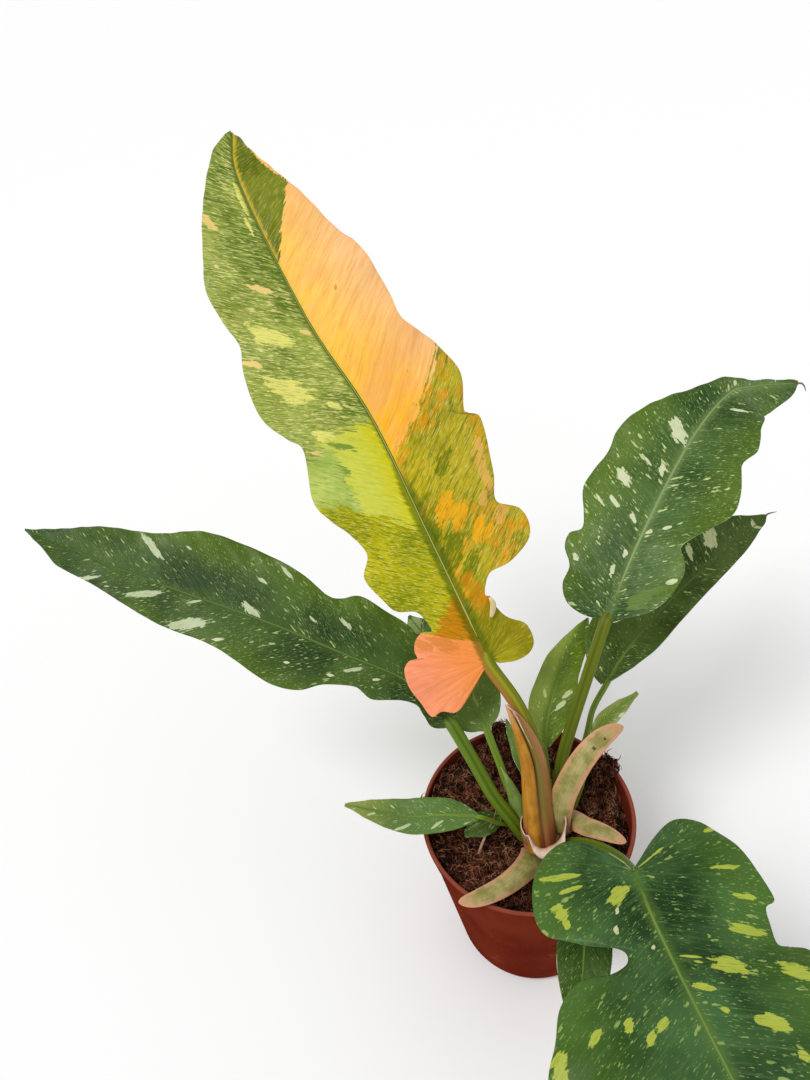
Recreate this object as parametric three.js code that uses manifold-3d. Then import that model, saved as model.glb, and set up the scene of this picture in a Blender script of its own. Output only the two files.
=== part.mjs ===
import * as THREE from "three";
import { mergeVertices } from "three/addons/utils/BufferGeometryUtils.js";
import Module from "manifold-3d";

// A variegated split-leaf philodendron in a 12 cm nursery pot. Millimetres, +Z up.
// The origin is the middle of the face that the pot stands on, and +Y points away
// from the side that the plant is looked at from.

const wasm = await Module();
wasm.setup();

// Pot
const POT_HEIGHT = 112;
const RIM_RADIUS = 60;
const FOOT_RADIUS = 44;
const WALL = 1.6;
const COLLAR_DROP = 11;
const COLLAR_STEP = 0.9;
const LIP_HEIGHT = 3.2;
const LIP_WIDTH = 2.4;
const FOOT_HEIGHT = 3;
const FLOOR = 2.2;
const POT_SIDES = 44;
const DRAIN_HOLES = 6;
const DRAIN_RADIUS = 4;
const DRAIN_CIRCLE = 28;

// Soil
const SOIL_DROP = 12;
const SOIL_RINGS = 7;
const SOIL_SIDES = 40;
const GAP = 0.3;

// Crown, the short stem under all stalks
const CROWN_AT = new THREE.Vector3(7, -11, 0);
const CROWN_RADIUS = 10;
const CROWN_BOTTOM = 74;
const CROWN_TOP = 106;

const CUP_BOTTOM = 101;
const CUP_FLARE = 1.4;

// Leaves
const BLADE_THICKNESS = 0.8;
const STALK_SIDES = 8;
const STALK_REACH = 4;
const COLUMNS = [0.3, 0.65, 1];

const COLOURS = {
  pot: 0x8a4434,
  soil: 0x33241c,
  crown: 0xb09a6a,
  ring: 0xd9b24c,
  green: 0x4c6e34,
  dark: 0x2f4f22,
  light: 0xa9b48a,
  sheath: 0xa9935a,
  spear: 0xb4802c,
  papery: 0xb3a472,
};

// Geometry helpers

function vector([x, y, z]) {
  return new THREE.Vector3(x, y, z);
}

function mix(a, b, t) {
  return a + (b - a) * t;
}

function solidOf(geometry) {
  const bare = new THREE.BufferGeometry();
  bare.setAttribute("position", geometry.getAttribute("position"));
  bare.setIndex(geometry.getIndex());
  const merged = mergeVertices(bare, 1e-4);
  const mesh = new wasm.Mesh({
    numProp: 3,
    vertProperties: new Float32Array(merged.getAttribute("position").array),
    triVerts: new Uint32Array(merged.getIndex().array),
  });
  return new wasm.Manifold(mesh);
}

function geometryOf(solid) {
  const mesh = solid.getMesh();
  const geometry = new THREE.BufferGeometry();
  geometry.setAttribute("position", new THREE.BufferAttribute(mesh.vertProperties, 3));
  geometry.setIndex(new THREE.BufferAttribute(mesh.triVerts, 1));
  geometry.computeVertexNormals();
  return geometry;
}

// Cutting can leave crumbs, so only the largest body is kept.
function largestBody(solid) {
  return solid.decompose().reduce((best, body) => (body.volume() > best.volume() ? body : best));
}

function smoothCurve(points) {
  return new THREE.CatmullRomCurve3(points.map(vector), false, "catmullrom", 0.5);
}

// The midrib of a leaf with a direction that the blade faces at each end. It turns
// a place on the flattened blade (out from the midrib, along it, above it) into
// a place in the part.
class Midrib {
  constructor(points, facing) {
    this.curve = smoothCurve(points);
    this.length = this.curve.getLength();
    [this.baseFacing, this.tipFacing] = facing.map((f) => vector(f).normalize());
  }

  frame(along) {
    const t = THREE.MathUtils.clamp(along / this.length, 0, 1);
    const forward = this.curve.getTangentAt(t);
    const origin = this.curve.getPointAt(t).addScaledVector(forward, along - t * this.length);
    const facing = this.baseFacing.clone().lerp(this.tipFacing, t);
    const side = forward.clone().cross(facing).normalize();
    return { origin, side, up: side.clone().cross(forward) };
  }

  place(out, along, above) {
    const { origin, side, up } = this.frame(along);
    return origin.addScaledVector(side, out).addScaledVector(up, above);
  }
}

// A closed thin body from a grid of top points and a grid of bottom points, both
// split into triangles alike, with a rim of triangles between their borders.
function slab(top, bottom) {
  const rows = top.length;
  const columns = top[0].length;
  const face = new THREE.PlaneGeometry(1, 1, columns - 1, rows - 1).getIndex().array;
  const count = rows * columns;
  const index = [];
  for (let i = 0; i < face.length; i += 3) {
    index.push(face[i], face[i + 1], face[i + 2]);
    index.push(count + face[i + 2], count + face[i + 1], count + face[i]);
  }
  const border = [];
  for (let c = 0; c < columns - 1; c++) border.push(c);
  for (let r = 0; r < rows - 1; r++) border.push(r * columns + columns - 1);
  for (let c = columns - 1; c > 0; c--) border.push((rows - 1) * columns + c);
  for (let r = rows - 1; r > 0; r--) border.push(r * columns);
  border.forEach((a, i) => {
    const b = border[(i + 1) % border.length];
    index.push(a, b, count + b);
    index.push(a, count + b, count + a);
  });
  const geometry = new THREE.BufferGeometry();
  geometry.setFromPoints([...top.flat(), ...bottom.flat()]);
  geometry.setIndex(index);
  const solid = solidOf(geometry);
  if (solid.volume() > 0) return solid;
  return solidOf(geometry.setIndex(index.reverse()));
}

// A tube along a curve whose half-width and half-depth change on the way.
function taperedTube(curve, facing, halfWidth, halfDepth, steps, grow = 0) {
  const tube = new THREE.CylinderGeometry(1, 1, 1, STALK_SIDES, steps);
  const places = tube.getAttribute("position");
  for (let i = 0; i < places.count; i++) {
    const t = 0.5 + places.getY(i);
    const forward = curve.getTangentAt(t);
    const side = forward.clone().cross(facing).normalize();
    const up = side.clone().cross(forward);
    const place = curve.getPointAt(t);
    place.addScaledVector(side, places.getX(i) * (halfWidth(t) + grow));
    place.addScaledVector(up, places.getZ(i) * (halfDepth(t) + grow));
    places.setXYZ(i, place.x, place.y, place.z);
  }
  const solid = solidOf(tube);
  if (solid.volume() > 0) return solid;
  const index = tube.getIndex().array;
  return solidOf(tube.setIndex(Array.from(index).reverse()));
}

// Outlines

// A plain pointed blade, widest at a share of its length.
function pointedOutline(length, width, widest, rows) {
  const power = Math.log(0.5) / Math.log(widest);
  return Array.from({ length: rows + 1 }, (_, i) => {
    const t = mix(0.02, 1, i / rows);
    const half = Math.max((width / 2) * Math.sin(Math.PI * t ** power) ** 0.8, 0.6);
    return [t * length, -half, t * length, half, t * length];
  });
}

// Between the side veins that an outline gives, its margin runs on a smooth curve.
function fineOutline(outline, between) {
  const column = (k) => outline.map((row) => row[k]);
  const curves = [0, 1, 2, 3, 4].map((k) => {
    const values = column(k);
    return (t) => {
      const i = Math.min(Math.floor(t), values.length - 2);
      const at = (j) => values[THREE.MathUtils.clamp(j, 0, values.length - 1)];
      const u = t - i;
      const slopeIn = (at(i + 1) - at(i - 1)) / 2;
      const slopeOut = (at(i + 2) - at(i)) / 2;
      const rise = at(i + 1) - at(i);
      return at(i) + u * (slopeIn + u * (3 * rise - 2 * slopeIn - slopeOut + u * (slopeIn + slopeOut - 2 * rise)));
    };
  });
  const rows = [];
  for (let i = 0; i < outline.length - 1; i++) {
    for (let k = 0; k < between; k++) rows.push(curves.map((f) => f(i + k / between)));
  }
  rows.push(outline.at(-1));
  return rows;
}

// Leaves

function bladeHeight(leaf, out, along, share) {
  const fold = leaf.fold * Math.abs(out) - leaf.bow * out * out;
  const wave = Math.sin((2 * Math.PI * along) / leaf.waveLength + (out > 0 ? 1.7 : 0));
  return fold + leaf.wave * wave * share * share;
}

function bladeSolid(leaf, midrib) {
  const rows = fineOutline(leaf.outline, leaf.between ?? 1);
  const top = [];
  const bottom = [];
  for (const [rib, leftOut, leftAlong, rightOut, rightAlong] of rows) {
    const ribShare = THREE.MathUtils.clamp(1 - rib / midrib.length, 0, 1);
    const ribDepth = mix(BLADE_THICKNESS, leaf.ribDepth, ribShare);
    const topRow = [];
    const bottomRow = [];
    const add = (out, along, height, depth) => {
      const { origin, side, up } = midrib.frame(along);
      const place = origin.addScaledVector(side, out).addScaledVector(up, height);
      topRow.push(place);
      bottomRow.push(place.clone().addScaledVector(up, -depth));
    };
    const half = (edgeOut, edgeAlong, share) => {
      const out = edgeOut * share;
      const along = mix(rib, edgeAlong, share);
      add(out, along, bladeHeight(leaf, out, along, share), BLADE_THICKNESS);
    };
    for (const share of COLUMNS.toReversed()) half(leftOut, leftAlong, share);
    add(0, rib, 0, ribDepth);
    for (const share of COLUMNS) half(rightOut, rightAlong, share);
    top.push(topRow);
    bottom.push(bottomRow);
  }
  return slab(top, bottom);
}

// A stalk ends inside the thick start of the midrib that it carries.
function stalkOf(leaf, grow = 0) {
  const midrib = new Midrib(leaf.midrib, leaf.facing);
  const end = midrib.place(0, STALK_REACH, -leaf.ribDepth / 2);
  const curve = smoothCurve([...leaf.stalk, end.toArray()]);
  const [baseHalf, topHalf] = leaf.stalkWidth.map((width) => width / 2);
  const width = (t) => mix(baseHalf, topHalf, Math.min(1, 1.6 * t));
  return taperedTube(curve, vector(leaf.facing[0]), width, (t) => 0.8 * width(t), leaf.stalkSteps ?? 10, grow);
}

function leafSolid(leaf) {
  return stalkOf(leaf).add(bladeSolid(leaf, new Midrib(leaf.midrib, leaf.facing)));
}

// Each row of an outline is a pair of side veins: where it leaves the midrib, then
// how far out and along its left and right ends lie on the margin.

const ringLeaf = {
  name: "leaf_ring",
  colour: COLOURS.ring,
  stalk: [[7, -12, 97], [10, -6, 113], [11, 2, 127], [9, 16, 149], [2, 28, 171], [-10, 42, 190]],
  stalkWidth: [9, 8],
  midrib: [[-10, 43, 193], [-32, 87, 250], [-54, 127, 307], [-80, 161, 352], [-106, 216, 412], [-108, 247, 433]],
  facing: [[-0.06, -0.6, 0.8], [0.14, -0.85, 0.5]],
  fold: 0.1,
  bow: 0.002,
  wave: 2,
  waveLength: 46,
  ribDepth: 4,
  between: 2,
  outline: [
    [0, -4, -3, 5, -2],
    [4, -24, -17, 14, -6],
    [8, -42, -14, 23, -5],
    [12, -45, 2, 27, 1],
    [17, -44, 15, 27, 9],
    [22, -36, 17, 23, 13],
    [28, -34, 25, 18, 19],
    [34, -23, 29, 16, 31],
    [44, -25, 41, 14, 34],
    [54, -34, 46, 21, 43],
    [64, -38, 55, 34, 44],
    [75, -42, 70, 48, 50],
    [88, -35, 81, 53, 58],
    [100, -39, 95, 52, 68],
    [112, -45, 106, 42, 77],
    [122, -49, 121, 47, 93],
    [146, -41, 149, 54, 121],
    [159, -45, 162, 47, 128],
    [171, -50, 181, 55, 146],
    [190, -45, 201, 52, 163],
    [211, -39, 215, 44, 182],
    [225, -41, 230, 47, 203],
    [240, -41, 250, 45, 233],
    [254, -31, 275, 38, 252],
    [270, -22, 293, 30, 274],
    [288, -14, 311, 20, 302],
    [306, -9, 323, 9, 320],
    [322, -4, 330, 4, 329],
    [334, -0.7, 334, 0.7, 334],
  ],
};

const leftLeaf = {
  name: "leaf_left",
  colour: COLOURS.green,
  stalk: [[-2, -9, 97], [-9, -6, 113], [-18, 2, 128], [-26, 14, 145], [-34, 27, 160]],
  stalkWidth: [7, 6.2],
  midrib: [[-36, 30, 163], [-57, 51, 178], [-90, 62, 196], [-129, 78, 213], [-179, 98, 230], [-219, 114, 245], [-265, 134, 264]],
  facing: [[0, -0.55, 0.83], [-0.1, -0.5, 0.86]],
  fold: 0.12,
  bow: 0.002,
  wave: 1.5,
  waveLength: 60,
  ribDepth: 3.4,
  outline: [
    [0, -3, -2, 3, 0],
    [8, -9, 4, 6, 0],
    [18, -8, 12, 9, 7],
    [33, -7, 20, 17, 23],
    [45, -14, 36, 22, 35],
    [58, -18, 48, 28, 43],
    [72, -15, 60, 31, 57],
    [82, -20, 75, 34, 76],
    [92, -28, 86, 29, 85],
    [102, -31, 98, 27, 94],
    [114, -30, 112, 33, 113],
    [136, -23, 143, 38, 148],
    [162, -22, 174, 37, 174],
    [185, -19, 194, 28, 197],
    [207, -14, 221, 20, 228],
    [230, -12, 244, 10, 250],
    [249, -7, 255, 6, 260],
    [262, -3, 266, 3, 267],
    [273, -0.6, 273, 0.6, 273],
  ],
};

const upperRightLeaf = {
  name: "leaf_right_upper",
  colour: COLOURS.green,
  stalk: [[15, -8, 97], [18, 2, 115], [23, 13, 132], [32, 25, 150], [44, 39, 171], [57, 53, 196]],
  stalkWidth: [7, 7],
  midrib: [[59, 55, 199], [84, 80, 232], [123, 120, 262], [156, 149, 273], [178, 160, 270], [209, 166, 264]],
  facing: [[-0.35, -0.45, 0.82], [0.1, -0.5, 0.86]],
  fold: 0.12,
  bow: 0.002,
  wave: 1.5,
  waveLength: 50,
  ribDepth: 3.6,
  outline: [
    [0, -3, -2, 4, -1],
    [5, -14, -3, 11, 5],
    [11, -24, 0, 20, 12],
    [16, -30, 9, 26, 22],
    [28, -30, 20, 29, 35],
    [39, -37, 29, 27, 44],
    [48, -38, 37, 22, 51],
    [55, -32, 42, 26, 60],
    [62, -35, 51, 33, 70],
    [76, -40, 61, 39, 82],
    [89, -41, 70, 37, 96],
    [112, -38, 90, 31, 114],
    [123, -39, 102, 34, 130],
    [138, -35, 115, 28, 147],
    [158, -26, 134, 24, 167],
    [175, -15, 151, 18, 188],
    [191, -7, 173, 11, 203],
    [206, -4, 196, 4, 211],
    [215, -0.6, 214, 0.6, 215],
  ],
};

const lowerRightLeaf = {
  name: "leaf_right_lower",
  colour: COLOURS.green,
  stalk: [[14, -4, 96], [25, 6, 110], [34, 17, 121], [43, 31, 133], [49, 41, 141], [58, 48, 151]],
  stalkWidth: [4, 3.6],
  midrib: [[59, 49, 153], [79, 66, 164], [117, 93, 175], [149, 113, 180], [188, 136, 187]],
  facing: [[-0.35, -0.5, 0.8], [-0.1, -0.5, 0.86]],
  fold: 0.12,
  bow: 0.002,
  wave: 1,
  waveLength: 50,
  ribDepth: 2.4,
  outline: [
    [0, -2, -3, 2, 2],
    [6, -10, 0, 5, 8],
    [14, -19, 9, 9, 17],
    [28, -26, 22, 13, 35],
    [45, -29, 37, 13, 57],
    [65, -29, 57, 12, 88],
    [90, -26, 85, 10, 113],
    [114, -23, 115, 8, 132],
    [135, -18, 136, 5, 145],
    [150, -8, 151, 3, 154],
    [160, -0.6, 160, 0.6, 160],
  ],
};

const frontLeaf = {
  name: "leaf_front",
  colour: COLOURS.dark,
  stalk: [[14, -15, 97], [23, -24, 112], [29, -42, 136], [32, -62, 159], [32, -77, 174]],
  stalkWidth: [6.2, 6],
  midrib: [[32, -78, 177], [33, -104, 180], [36, -140, 186], [41, -176, 187], [48, -216, 179], [58, -258, 157], [66, -288, 132]],
  facing: [[-0.1, -0.35, 0.93], [0.05, -0.6, 0.7]],
  fold: 0.08,
  bow: 0.0022,
  wave: 2.5,
  waveLength: 56,
  ribDepth: 4.2,
  outline: [
    [0, -3, -4, 3, -3],
    [3, -14, -14, 12, -17],
    [7, -26, -20, 23, -24],
    [11, -37, -17, 35, -20],
    [16, -43, -8, 42, -10],
    [22, -47, 3, 46, 1],
    [27, -48, 15, 47, 11],
    [31, -46, 25, 43, 18],
    [36, -42, 32, 31, 23],
    [43, -43, 40, 17, 30],
    [51, -51, 46, 24, 36],
    [60, -53, 60, 40, 37],
    [70, -48, 76, 48, 45],
    [80, -42, 88, 54, 56],
    [94, -40, 104, 62, 69],
    [112, -46, 122, 62, 92],
    [130, -50, 140, 56, 116],
    [150, -48, 164, 54, 138],
    [170, -42, 182, 48, 162],
    [190, -33, 201, 39, 186],
    [208, -23, 217, 27, 207],
    [222, -12, 228, 13, 224],
    [235, -0.7, 235, 0.7, 235],
  ],
};

const roundLeaf = {
  name: "leaf_round",
  colour: COLOURS.dark,
  stalk: [[3, -3, 97], [-3, 1, 110], [-8, 8, 122], [-11, 17, 134], [-15, 31, 147]],
  stalkWidth: [3.6, 3.4],
  midrib: [[-15, 33, 149], [-24, 58, 158], [-35, 79, 166], [-50, 105, 176]],
  facing: [[-0.1, -0.75, 0.65], [0, -0.6, 0.8]],
  fold: 0.1,
  bow: 0.003,
  wave: 0.8,
  waveLength: 40,
  ribDepth: 2,
  outline: [
    [0, -3, -1, 3, -1],
    [5, -12, 4, 10, 3],
    [12, -19, 13, 15, 10],
    [22, -22, 26, 18, 20],
    [36, -21, 42, 18, 35],
    [52, -16, 60, 16, 52],
    [68, -9, 75, 10, 70],
    [85, -0.6, 85, 0.6, 85],
  ],
};

const paleLeaf = {
  name: "leaf_pale_centre",
  colour: COLOURS.light,
  stalk: [[8, -2, 97], [11, 3, 110], [15, 11, 122], [16, 23, 134]],
  stalkWidth: [3.6, 3],
  midrib: [[16, 24, 135], [23, 41, 144], [38, 65, 158], [58, 87, 169]],
  facing: [[-0.1, -0.6, 0.8], [-0.1, -0.6, 0.8]],
  fold: 0.16,
  bow: 0.003,
  wave: 0.6,
  waveLength: 40,
  ribDepth: 2,
  outline: [
    [0, -1.5, 0, 2, 0],
    [6, -6, 6, 8, 8],
    [13, -11, 15, 12, 20],
    [24, -13, 26, 14, 33],
    [36, -12, 37, 11, 44],
    [50, -11, 49, 10, 56],
    [64, -8, 61, 8, 67],
    [76, -4, 75, 4, 77],
    [84, -0.6, 84, 0.6, 84],
  ],
};

function smallLeaf(name, colour, width, widest, stalkWidth, stalk, midrib, facing) {
  const leaf = { name, colour, stalk, stalkWidth, midrib, facing: [facing, facing] };
  const { length } = new Midrib(midrib, leaf.facing);
  const bend = { fold: 0.18, bow: 0.004, wave: 0.3, waveLength: 30, ribDepth: 1.5, stalkSteps: 6 };
  return { ...leaf, ...bend, outline: pointedOutline(length, width, widest, 7) };
}

const smallLeaves = [
  smallLeaf("leaf_small_left", COLOURS.green, 19, 0.42, [2.6, 2.4],
    [[-2, -5, 96], [-9, -4, 105], [-18, -8, 117], [-26, -11, 129]],
    [[-27, -11, 130], [-46, -9, 134], [-68, -6, 134], [-100, 4, 138]], [-0.1, -0.4, 0.9]),
  smallLeaf("leaf_tiny_left", COLOURS.dark, 14, 0.45, [2.2, 2],
    [[-1, -1, 93], [-8, 1, 100], [-14, 3, 104]],
    [[-15, 3, 105], [-26, -2, 108], [-37, -6, 106]], [-0.1, -0.3, 0.9]),
  smallLeaf("leaf_small_right", COLOURS.green, 8, 0.42, [2.4, 2],
    [[17, -9, 94], [32, 4, 112], [42, 18, 124], [50, 32, 134]],
    [[50, 33, 135], [60, 38, 138], [77, 46, 143]], [-0.2, -0.5, 0.85]),
  smallLeaf("leaf_under_front", COLOURS.dark, 32, 0.42, [2.8, 2.6],
    [[8, -19, 93], [9, -34, 108], [12, -48, 123], [14, -58, 131]],
    [[14, -59, 132], [10, -82, 136], [3, -104, 133], [-3, -126, 124]], [0, -0.2, 1]),
  smallLeaf("leaf_sliver", COLOURS.dark, 7, 0.5, [2.4, 2.2],
    [[5, -4, 95], [3, 2, 112], [1, 12, 126]],
    [[1, 13, 127], [0, 25, 138], [-3, 38, 147]], [-0.2, -0.7, 0.7]),
];

// Sheaths and bud scales: thin channels that wrap round their own midline.

function channelSolid(scale, grow = 0) {
  const midrib = new Midrib(scale.midline, scale.facing);
  const steps = scale.steps;
  const across = 6;
  const inner = [];
  const outer = [];
  for (let i = 0; i <= steps; i++) {
    const t = i / steps;
    const along = mix(-grow, midrib.length + grow, t);
    const { origin, side, up } = midrib.frame(along);
    const half = Math.max(scale.halfWidth(t), 0.7);
    const radius = half / Math.sin(Math.min(scale.wrap(t), Math.PI / 2));
    const wrap = scale.wrap(t) + grow / radius;
    const ring = (r) =>
      Array.from({ length: across + 1 }, (_, k) => {
        const angle = mix(-wrap, wrap, k / across);
        const place = origin.clone().addScaledVector(side, r * Math.sin(angle));
        return place.addScaledVector(up, scale.hollow * (r * Math.cos(angle) - radius));
      });
    outer.push(ring(radius + grow));
    inner.push(ring(radius - BLADE_THICKNESS - grow));
  }
  return slab(outer, inner);
}

const scales = [
  {
    name: "sheath_spear",
    colour: COLOURS.spear,
    midline: [[4, -23, 105], [5, -15, 119], [6, -4, 135], [6, 5, 149], [2, 14, 165], [-4, 23, 178]],
    facing: [[0, -0.85, 0.5], [0, -0.85, 0.5]],
    halfWidth: (t) => mix(8.8, 6, t) * (1 - 0.75 * t ** 5),
    wrap: (t) => mix(1.8, 1.1, t),
    hollow: 1,
    steps: 10,
  },
  {
    name: "sheath_green",
    colour: COLOURS.green,
    midline: [[0, -10, 102], [-4, -6, 112], [-6, 0, 122], [-8, 7, 129], [-11, 15, 135]],
    facing: [[-0.1, -0.8, 0.55], [-0.2, -0.8, 0.55]],
    halfWidth: (t) => 5 * Math.sin(Math.PI * (0.35 + 0.65 * t)),
    wrap: () => 1,
    hollow: 1,
    steps: 7,
  },
  {
    name: "sheath_front",
    colour: COLOURS.papery,
    midline: [[2, -19, 101], [-4, -28, 108], [-11, -36, 113], [-22, -44, 117], [-35, -49, 119], [-46, -49, 117]],
    facing: [[0.2, -0.2, 1], [0.2, -0.3, 1]],
    halfWidth: (t) => mix(7, 4, Math.sqrt(t)) * (1 - t ** 8),
    wrap: (t) => mix(1.1, 0.8, t),
    hollow: 1,
    steps: 9,
  },
  {
    name: "sheath_back",
    colour: COLOURS.papery,
    midline: [[14, -12, 105], [16, -9, 120], [21, -4, 132], [31, 3, 145], [42, 9, 153], [51, 13, 155], [58, 15, 155]],
    facing: [[-0.4, -0.7, 0.6], [-0.2, -0.5, 0.85]],
    halfWidth: (t) => 7 * (1 - t ** 5),
    wrap: (t) => mix(0.8, 0.6, t),
    hollow: 1,
    steps: 9,
  },
  {
    name: "sheath_right",
    colour: COLOURS.papery,
    midline: [[15, -8, 102], [23, -8, 110], [30, -17, 116], [39, -25, 119], [47, -31, 118]],
    facing: [[-0.1, -0.3, 1], [0, -0.3, 1]],
    halfWidth: (t) => 6 * (1 - t ** 4),
    wrap: (t) => mix(0.9, 0.6, t),
    hollow: 1,
    steps: 7,
  },
];

// The pinkish collar of old bud scales: a low cup round the front of the crown,
// higher on its right side and open behind.
function cupSolid(grow = 0) {
  const steps = 16;
  const outer = [];
  const inner = [];
  for (let i = 0; i <= steps; i++) {
    const turn = mix(-1.25 * Math.PI, 0.2 * Math.PI, i / steps);
    const rise = 6 + 5 * Math.max(0, Math.cos(turn + 0.2));
    const side = new THREE.Vector3(Math.cos(turn), Math.sin(turn), 0);
    const wall = (radius) =>
      [0, 0.5, 1].map((t) =>
        CROWN_AT.clone()
          .addScaledVector(side, radius + CUP_FLARE * Math.sin(Math.PI * t))
          .setZ(mix(CUP_BOTTOM - grow, CUP_BOTTOM + rise, t)),
      );
    outer.push(wall(CROWN_RADIUS + GAP + BLADE_THICKNESS + grow));
    inner.push(wall(CROWN_RADIUS + GAP - grow));
  }
  return slab(outer, inner);
}

// Pot, soil and crown

function wallRadius(height) {
  const share = height / (POT_HEIGHT - COLLAR_DROP);
  return mix(FOOT_RADIUS + 0.9, RIM_RADIUS - COLLAR_STEP - 1.4, share);
}

function potSolid() {
  const collarBottom = POT_HEIGHT - COLLAR_DROP;
  const lipBottom = POT_HEIGHT - LIP_HEIGHT;
  const profile = [
    [0, 0],
    [FOOT_RADIUS - 0.8, 0],
    [FOOT_RADIUS, 0.8],
    [FOOT_RADIUS + 0.3, FOOT_HEIGHT],
    [wallRadius(FOOT_HEIGHT + 1.2), FOOT_HEIGHT + 1.2],
    [wallRadius(collarBottom / 2), collarBottom / 2],
    [wallRadius(collarBottom), collarBottom],
    [wallRadius(collarBottom) + COLLAR_STEP, collarBottom + 1],
    [RIM_RADIUS - 0.7, lipBottom],
    [RIM_RADIUS, lipBottom + 0.9],
    [RIM_RADIUS, POT_HEIGHT - 0.8],
    [RIM_RADIUS - 0.8, POT_HEIGHT],
    [RIM_RADIUS - LIP_WIDTH + 0.5, POT_HEIGHT],
    [RIM_RADIUS - LIP_WIDTH, POT_HEIGHT - 0.8],
    [wallRadius(collarBottom) - WALL + 0.6, collarBottom],
    [wallRadius(FLOOR) - WALL, FLOOR + 1],
    [0, FLOOR],
  ];
  const points = profile.map(([radius, height]) => new THREE.Vector2(radius, height));
  let pot = solidOf(new THREE.LatheGeometry(points, POT_SIDES).rotateX(Math.PI / 2));
  for (let i = 0; i < DRAIN_HOLES; i++) {
    const angle = (2 * Math.PI * (i + 0.5)) / DRAIN_HOLES;
    const hole = new THREE.CylinderGeometry(DRAIN_RADIUS, DRAIN_RADIUS, 12, 12);
    hole.rotateX(Math.PI / 2).translate(DRAIN_CIRCLE * Math.cos(angle), DRAIN_CIRCLE * Math.sin(angle), 0);
    pot = pot.subtract(solidOf(hole));
  }
  return pot;
}

// The soil's top is low in the middle and heaped against the wall behind.
function soilHeight(x, y) {
  const radius = Math.hypot(x, y);
  const base = POT_HEIGHT - SOIL_DROP;
  const lumps = 1.1 * Math.sin(0.19 * x + 1.3) * Math.cos(0.23 * y) + 0.7 * Math.sin(0.41 * x - 0.33 * y);
  const heap = (cx, cy, size, height) => height * Math.exp(-((x - cx) ** 2 + (y - cy) ** 2) / size ** 2);
  const heaps = heap(-8, 50, 14, 9) + heap(48, 24, 13, 8);
  const edge = -3 * THREE.MathUtils.smoothstep(radius, 48, 57);
  return base + lumps + heaps + edge;
}

function soilSolid(room) {
  const top = POT_HEIGHT - SOIL_DROP;
  const outer = wallRadius(POT_HEIGHT - COLLAR_DROP) - WALL - GAP - 0.5;
  const bottom = FLOOR + 2;
  const bottomRadius = wallRadius(bottom) - WALL - GAP - 0.5;
  const profile = [[0, bottom], [bottomRadius, bottom], [outer, top - 4]];
  for (let i = 1; i <= SOIL_RINGS; i++) profile.push([outer * (1 - i / SOIL_RINGS), top]);
  const points = profile.map(([radius, height]) => new THREE.Vector2(radius, height));
  const lathe = new THREE.LatheGeometry(points, SOIL_SIDES).rotateX(Math.PI / 2);
  const places = lathe.getAttribute("position");
  for (let i = 0; i < places.count; i++) {
    if (places.getZ(i) > top - 5) {
      places.setZ(i, soilHeight(places.getX(i), places.getY(i)));
    }
  }
  return solidOf(lathe).subtract(room);
}

function crownSolid(grow = 0) {
  const height = CROWN_TOP - CROWN_BOTTOM + 2 * grow;
  const points = [[0, 0], [CROWN_RADIUS - 3, 0], [CROWN_RADIUS, 6], [CROWN_RADIUS, height - 7],
    [CROWN_RADIUS - 2, height - 3], [CROWN_RADIUS - 6, height - 1], [0, height]];
  const profile = points.map(([radius, z]) => new THREE.Vector2(radius && radius + grow, z));
  const lathe = new THREE.LatheGeometry(profile, 20).rotateX(Math.PI / 2);
  return solidOf(lathe.translate(CROWN_AT.x, CROWN_AT.y, CROWN_BOTTOM - grow));
}

// Assembly

const plant = new THREE.Group();

function addPiece(name, solid, colour, roughness) {
  const material = new THREE.MeshStandardMaterial({ color: colour, roughness, metalness: 0 });
  const mesh = new THREE.Mesh(geometryOf(solid), material);
  mesh.name = name;
  plant.add(mesh);
}

const leaves = [ringLeaf, leftLeaf, upperRightLeaf, lowerRightLeaf, frontLeaf, roundLeaf, paleLeaf, ...smallLeaves];

// Each piece is cut clear of the room that the pieces before it take.
let room = crownSolid(GAP);
function addGrown(name, solid, grown, colour, roughness) {
  addPiece(name, largestBody(solid.subtract(room)), colour, roughness);
  room = room.add(grown);
}

addPiece("pot", potSolid(), COLOURS.pot, 0.45);
addPiece("crown", crownSolid(), COLOURS.crown, 0.7);
for (const leaf of leaves) addGrown(leaf.name, leafSolid(leaf), stalkOf(leaf, GAP), leaf.colour, 0.45);
for (const scale of scales) addGrown(scale.name, channelSolid(scale), channelSolid(scale, GAP), scale.colour, 0.6);
addGrown("crown_cup", cupSolid(), cupSolid(GAP), COLOURS.papery, 0.6);
addPiece("soil", largestBody(soilSolid(room)), COLOURS.soil, 1);

export default plant;
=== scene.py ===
"""A variegated split-leaf philodendron in a 12 cm nursery pot.

Lengths in the tables are millimetres in the part's own frame: the origin is the middle
of the pot's base, +Z is up, and +Y points away from the camera.
"""

import math
from functools import cache, partial

import bmesh
import bpy
import numpy as np
from mathutils import Matrix, Vector, noise


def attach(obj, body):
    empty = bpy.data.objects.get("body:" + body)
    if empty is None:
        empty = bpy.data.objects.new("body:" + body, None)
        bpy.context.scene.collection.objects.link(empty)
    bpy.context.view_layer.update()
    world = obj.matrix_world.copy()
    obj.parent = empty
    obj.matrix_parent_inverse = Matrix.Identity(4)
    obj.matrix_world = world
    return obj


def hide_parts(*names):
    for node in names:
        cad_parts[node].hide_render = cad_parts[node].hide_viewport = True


bl_info = {
    "name": "Variegated Philodendron",
    "version": (1, 0, 0),
    "blender": (4, 5, 0),
    "location": "View3D > Sidebar > Philodendron",
    "description": "A potted philodendron with orange, lime and cream variegated leaves",
    "category": "Add Mesh",
}

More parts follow.
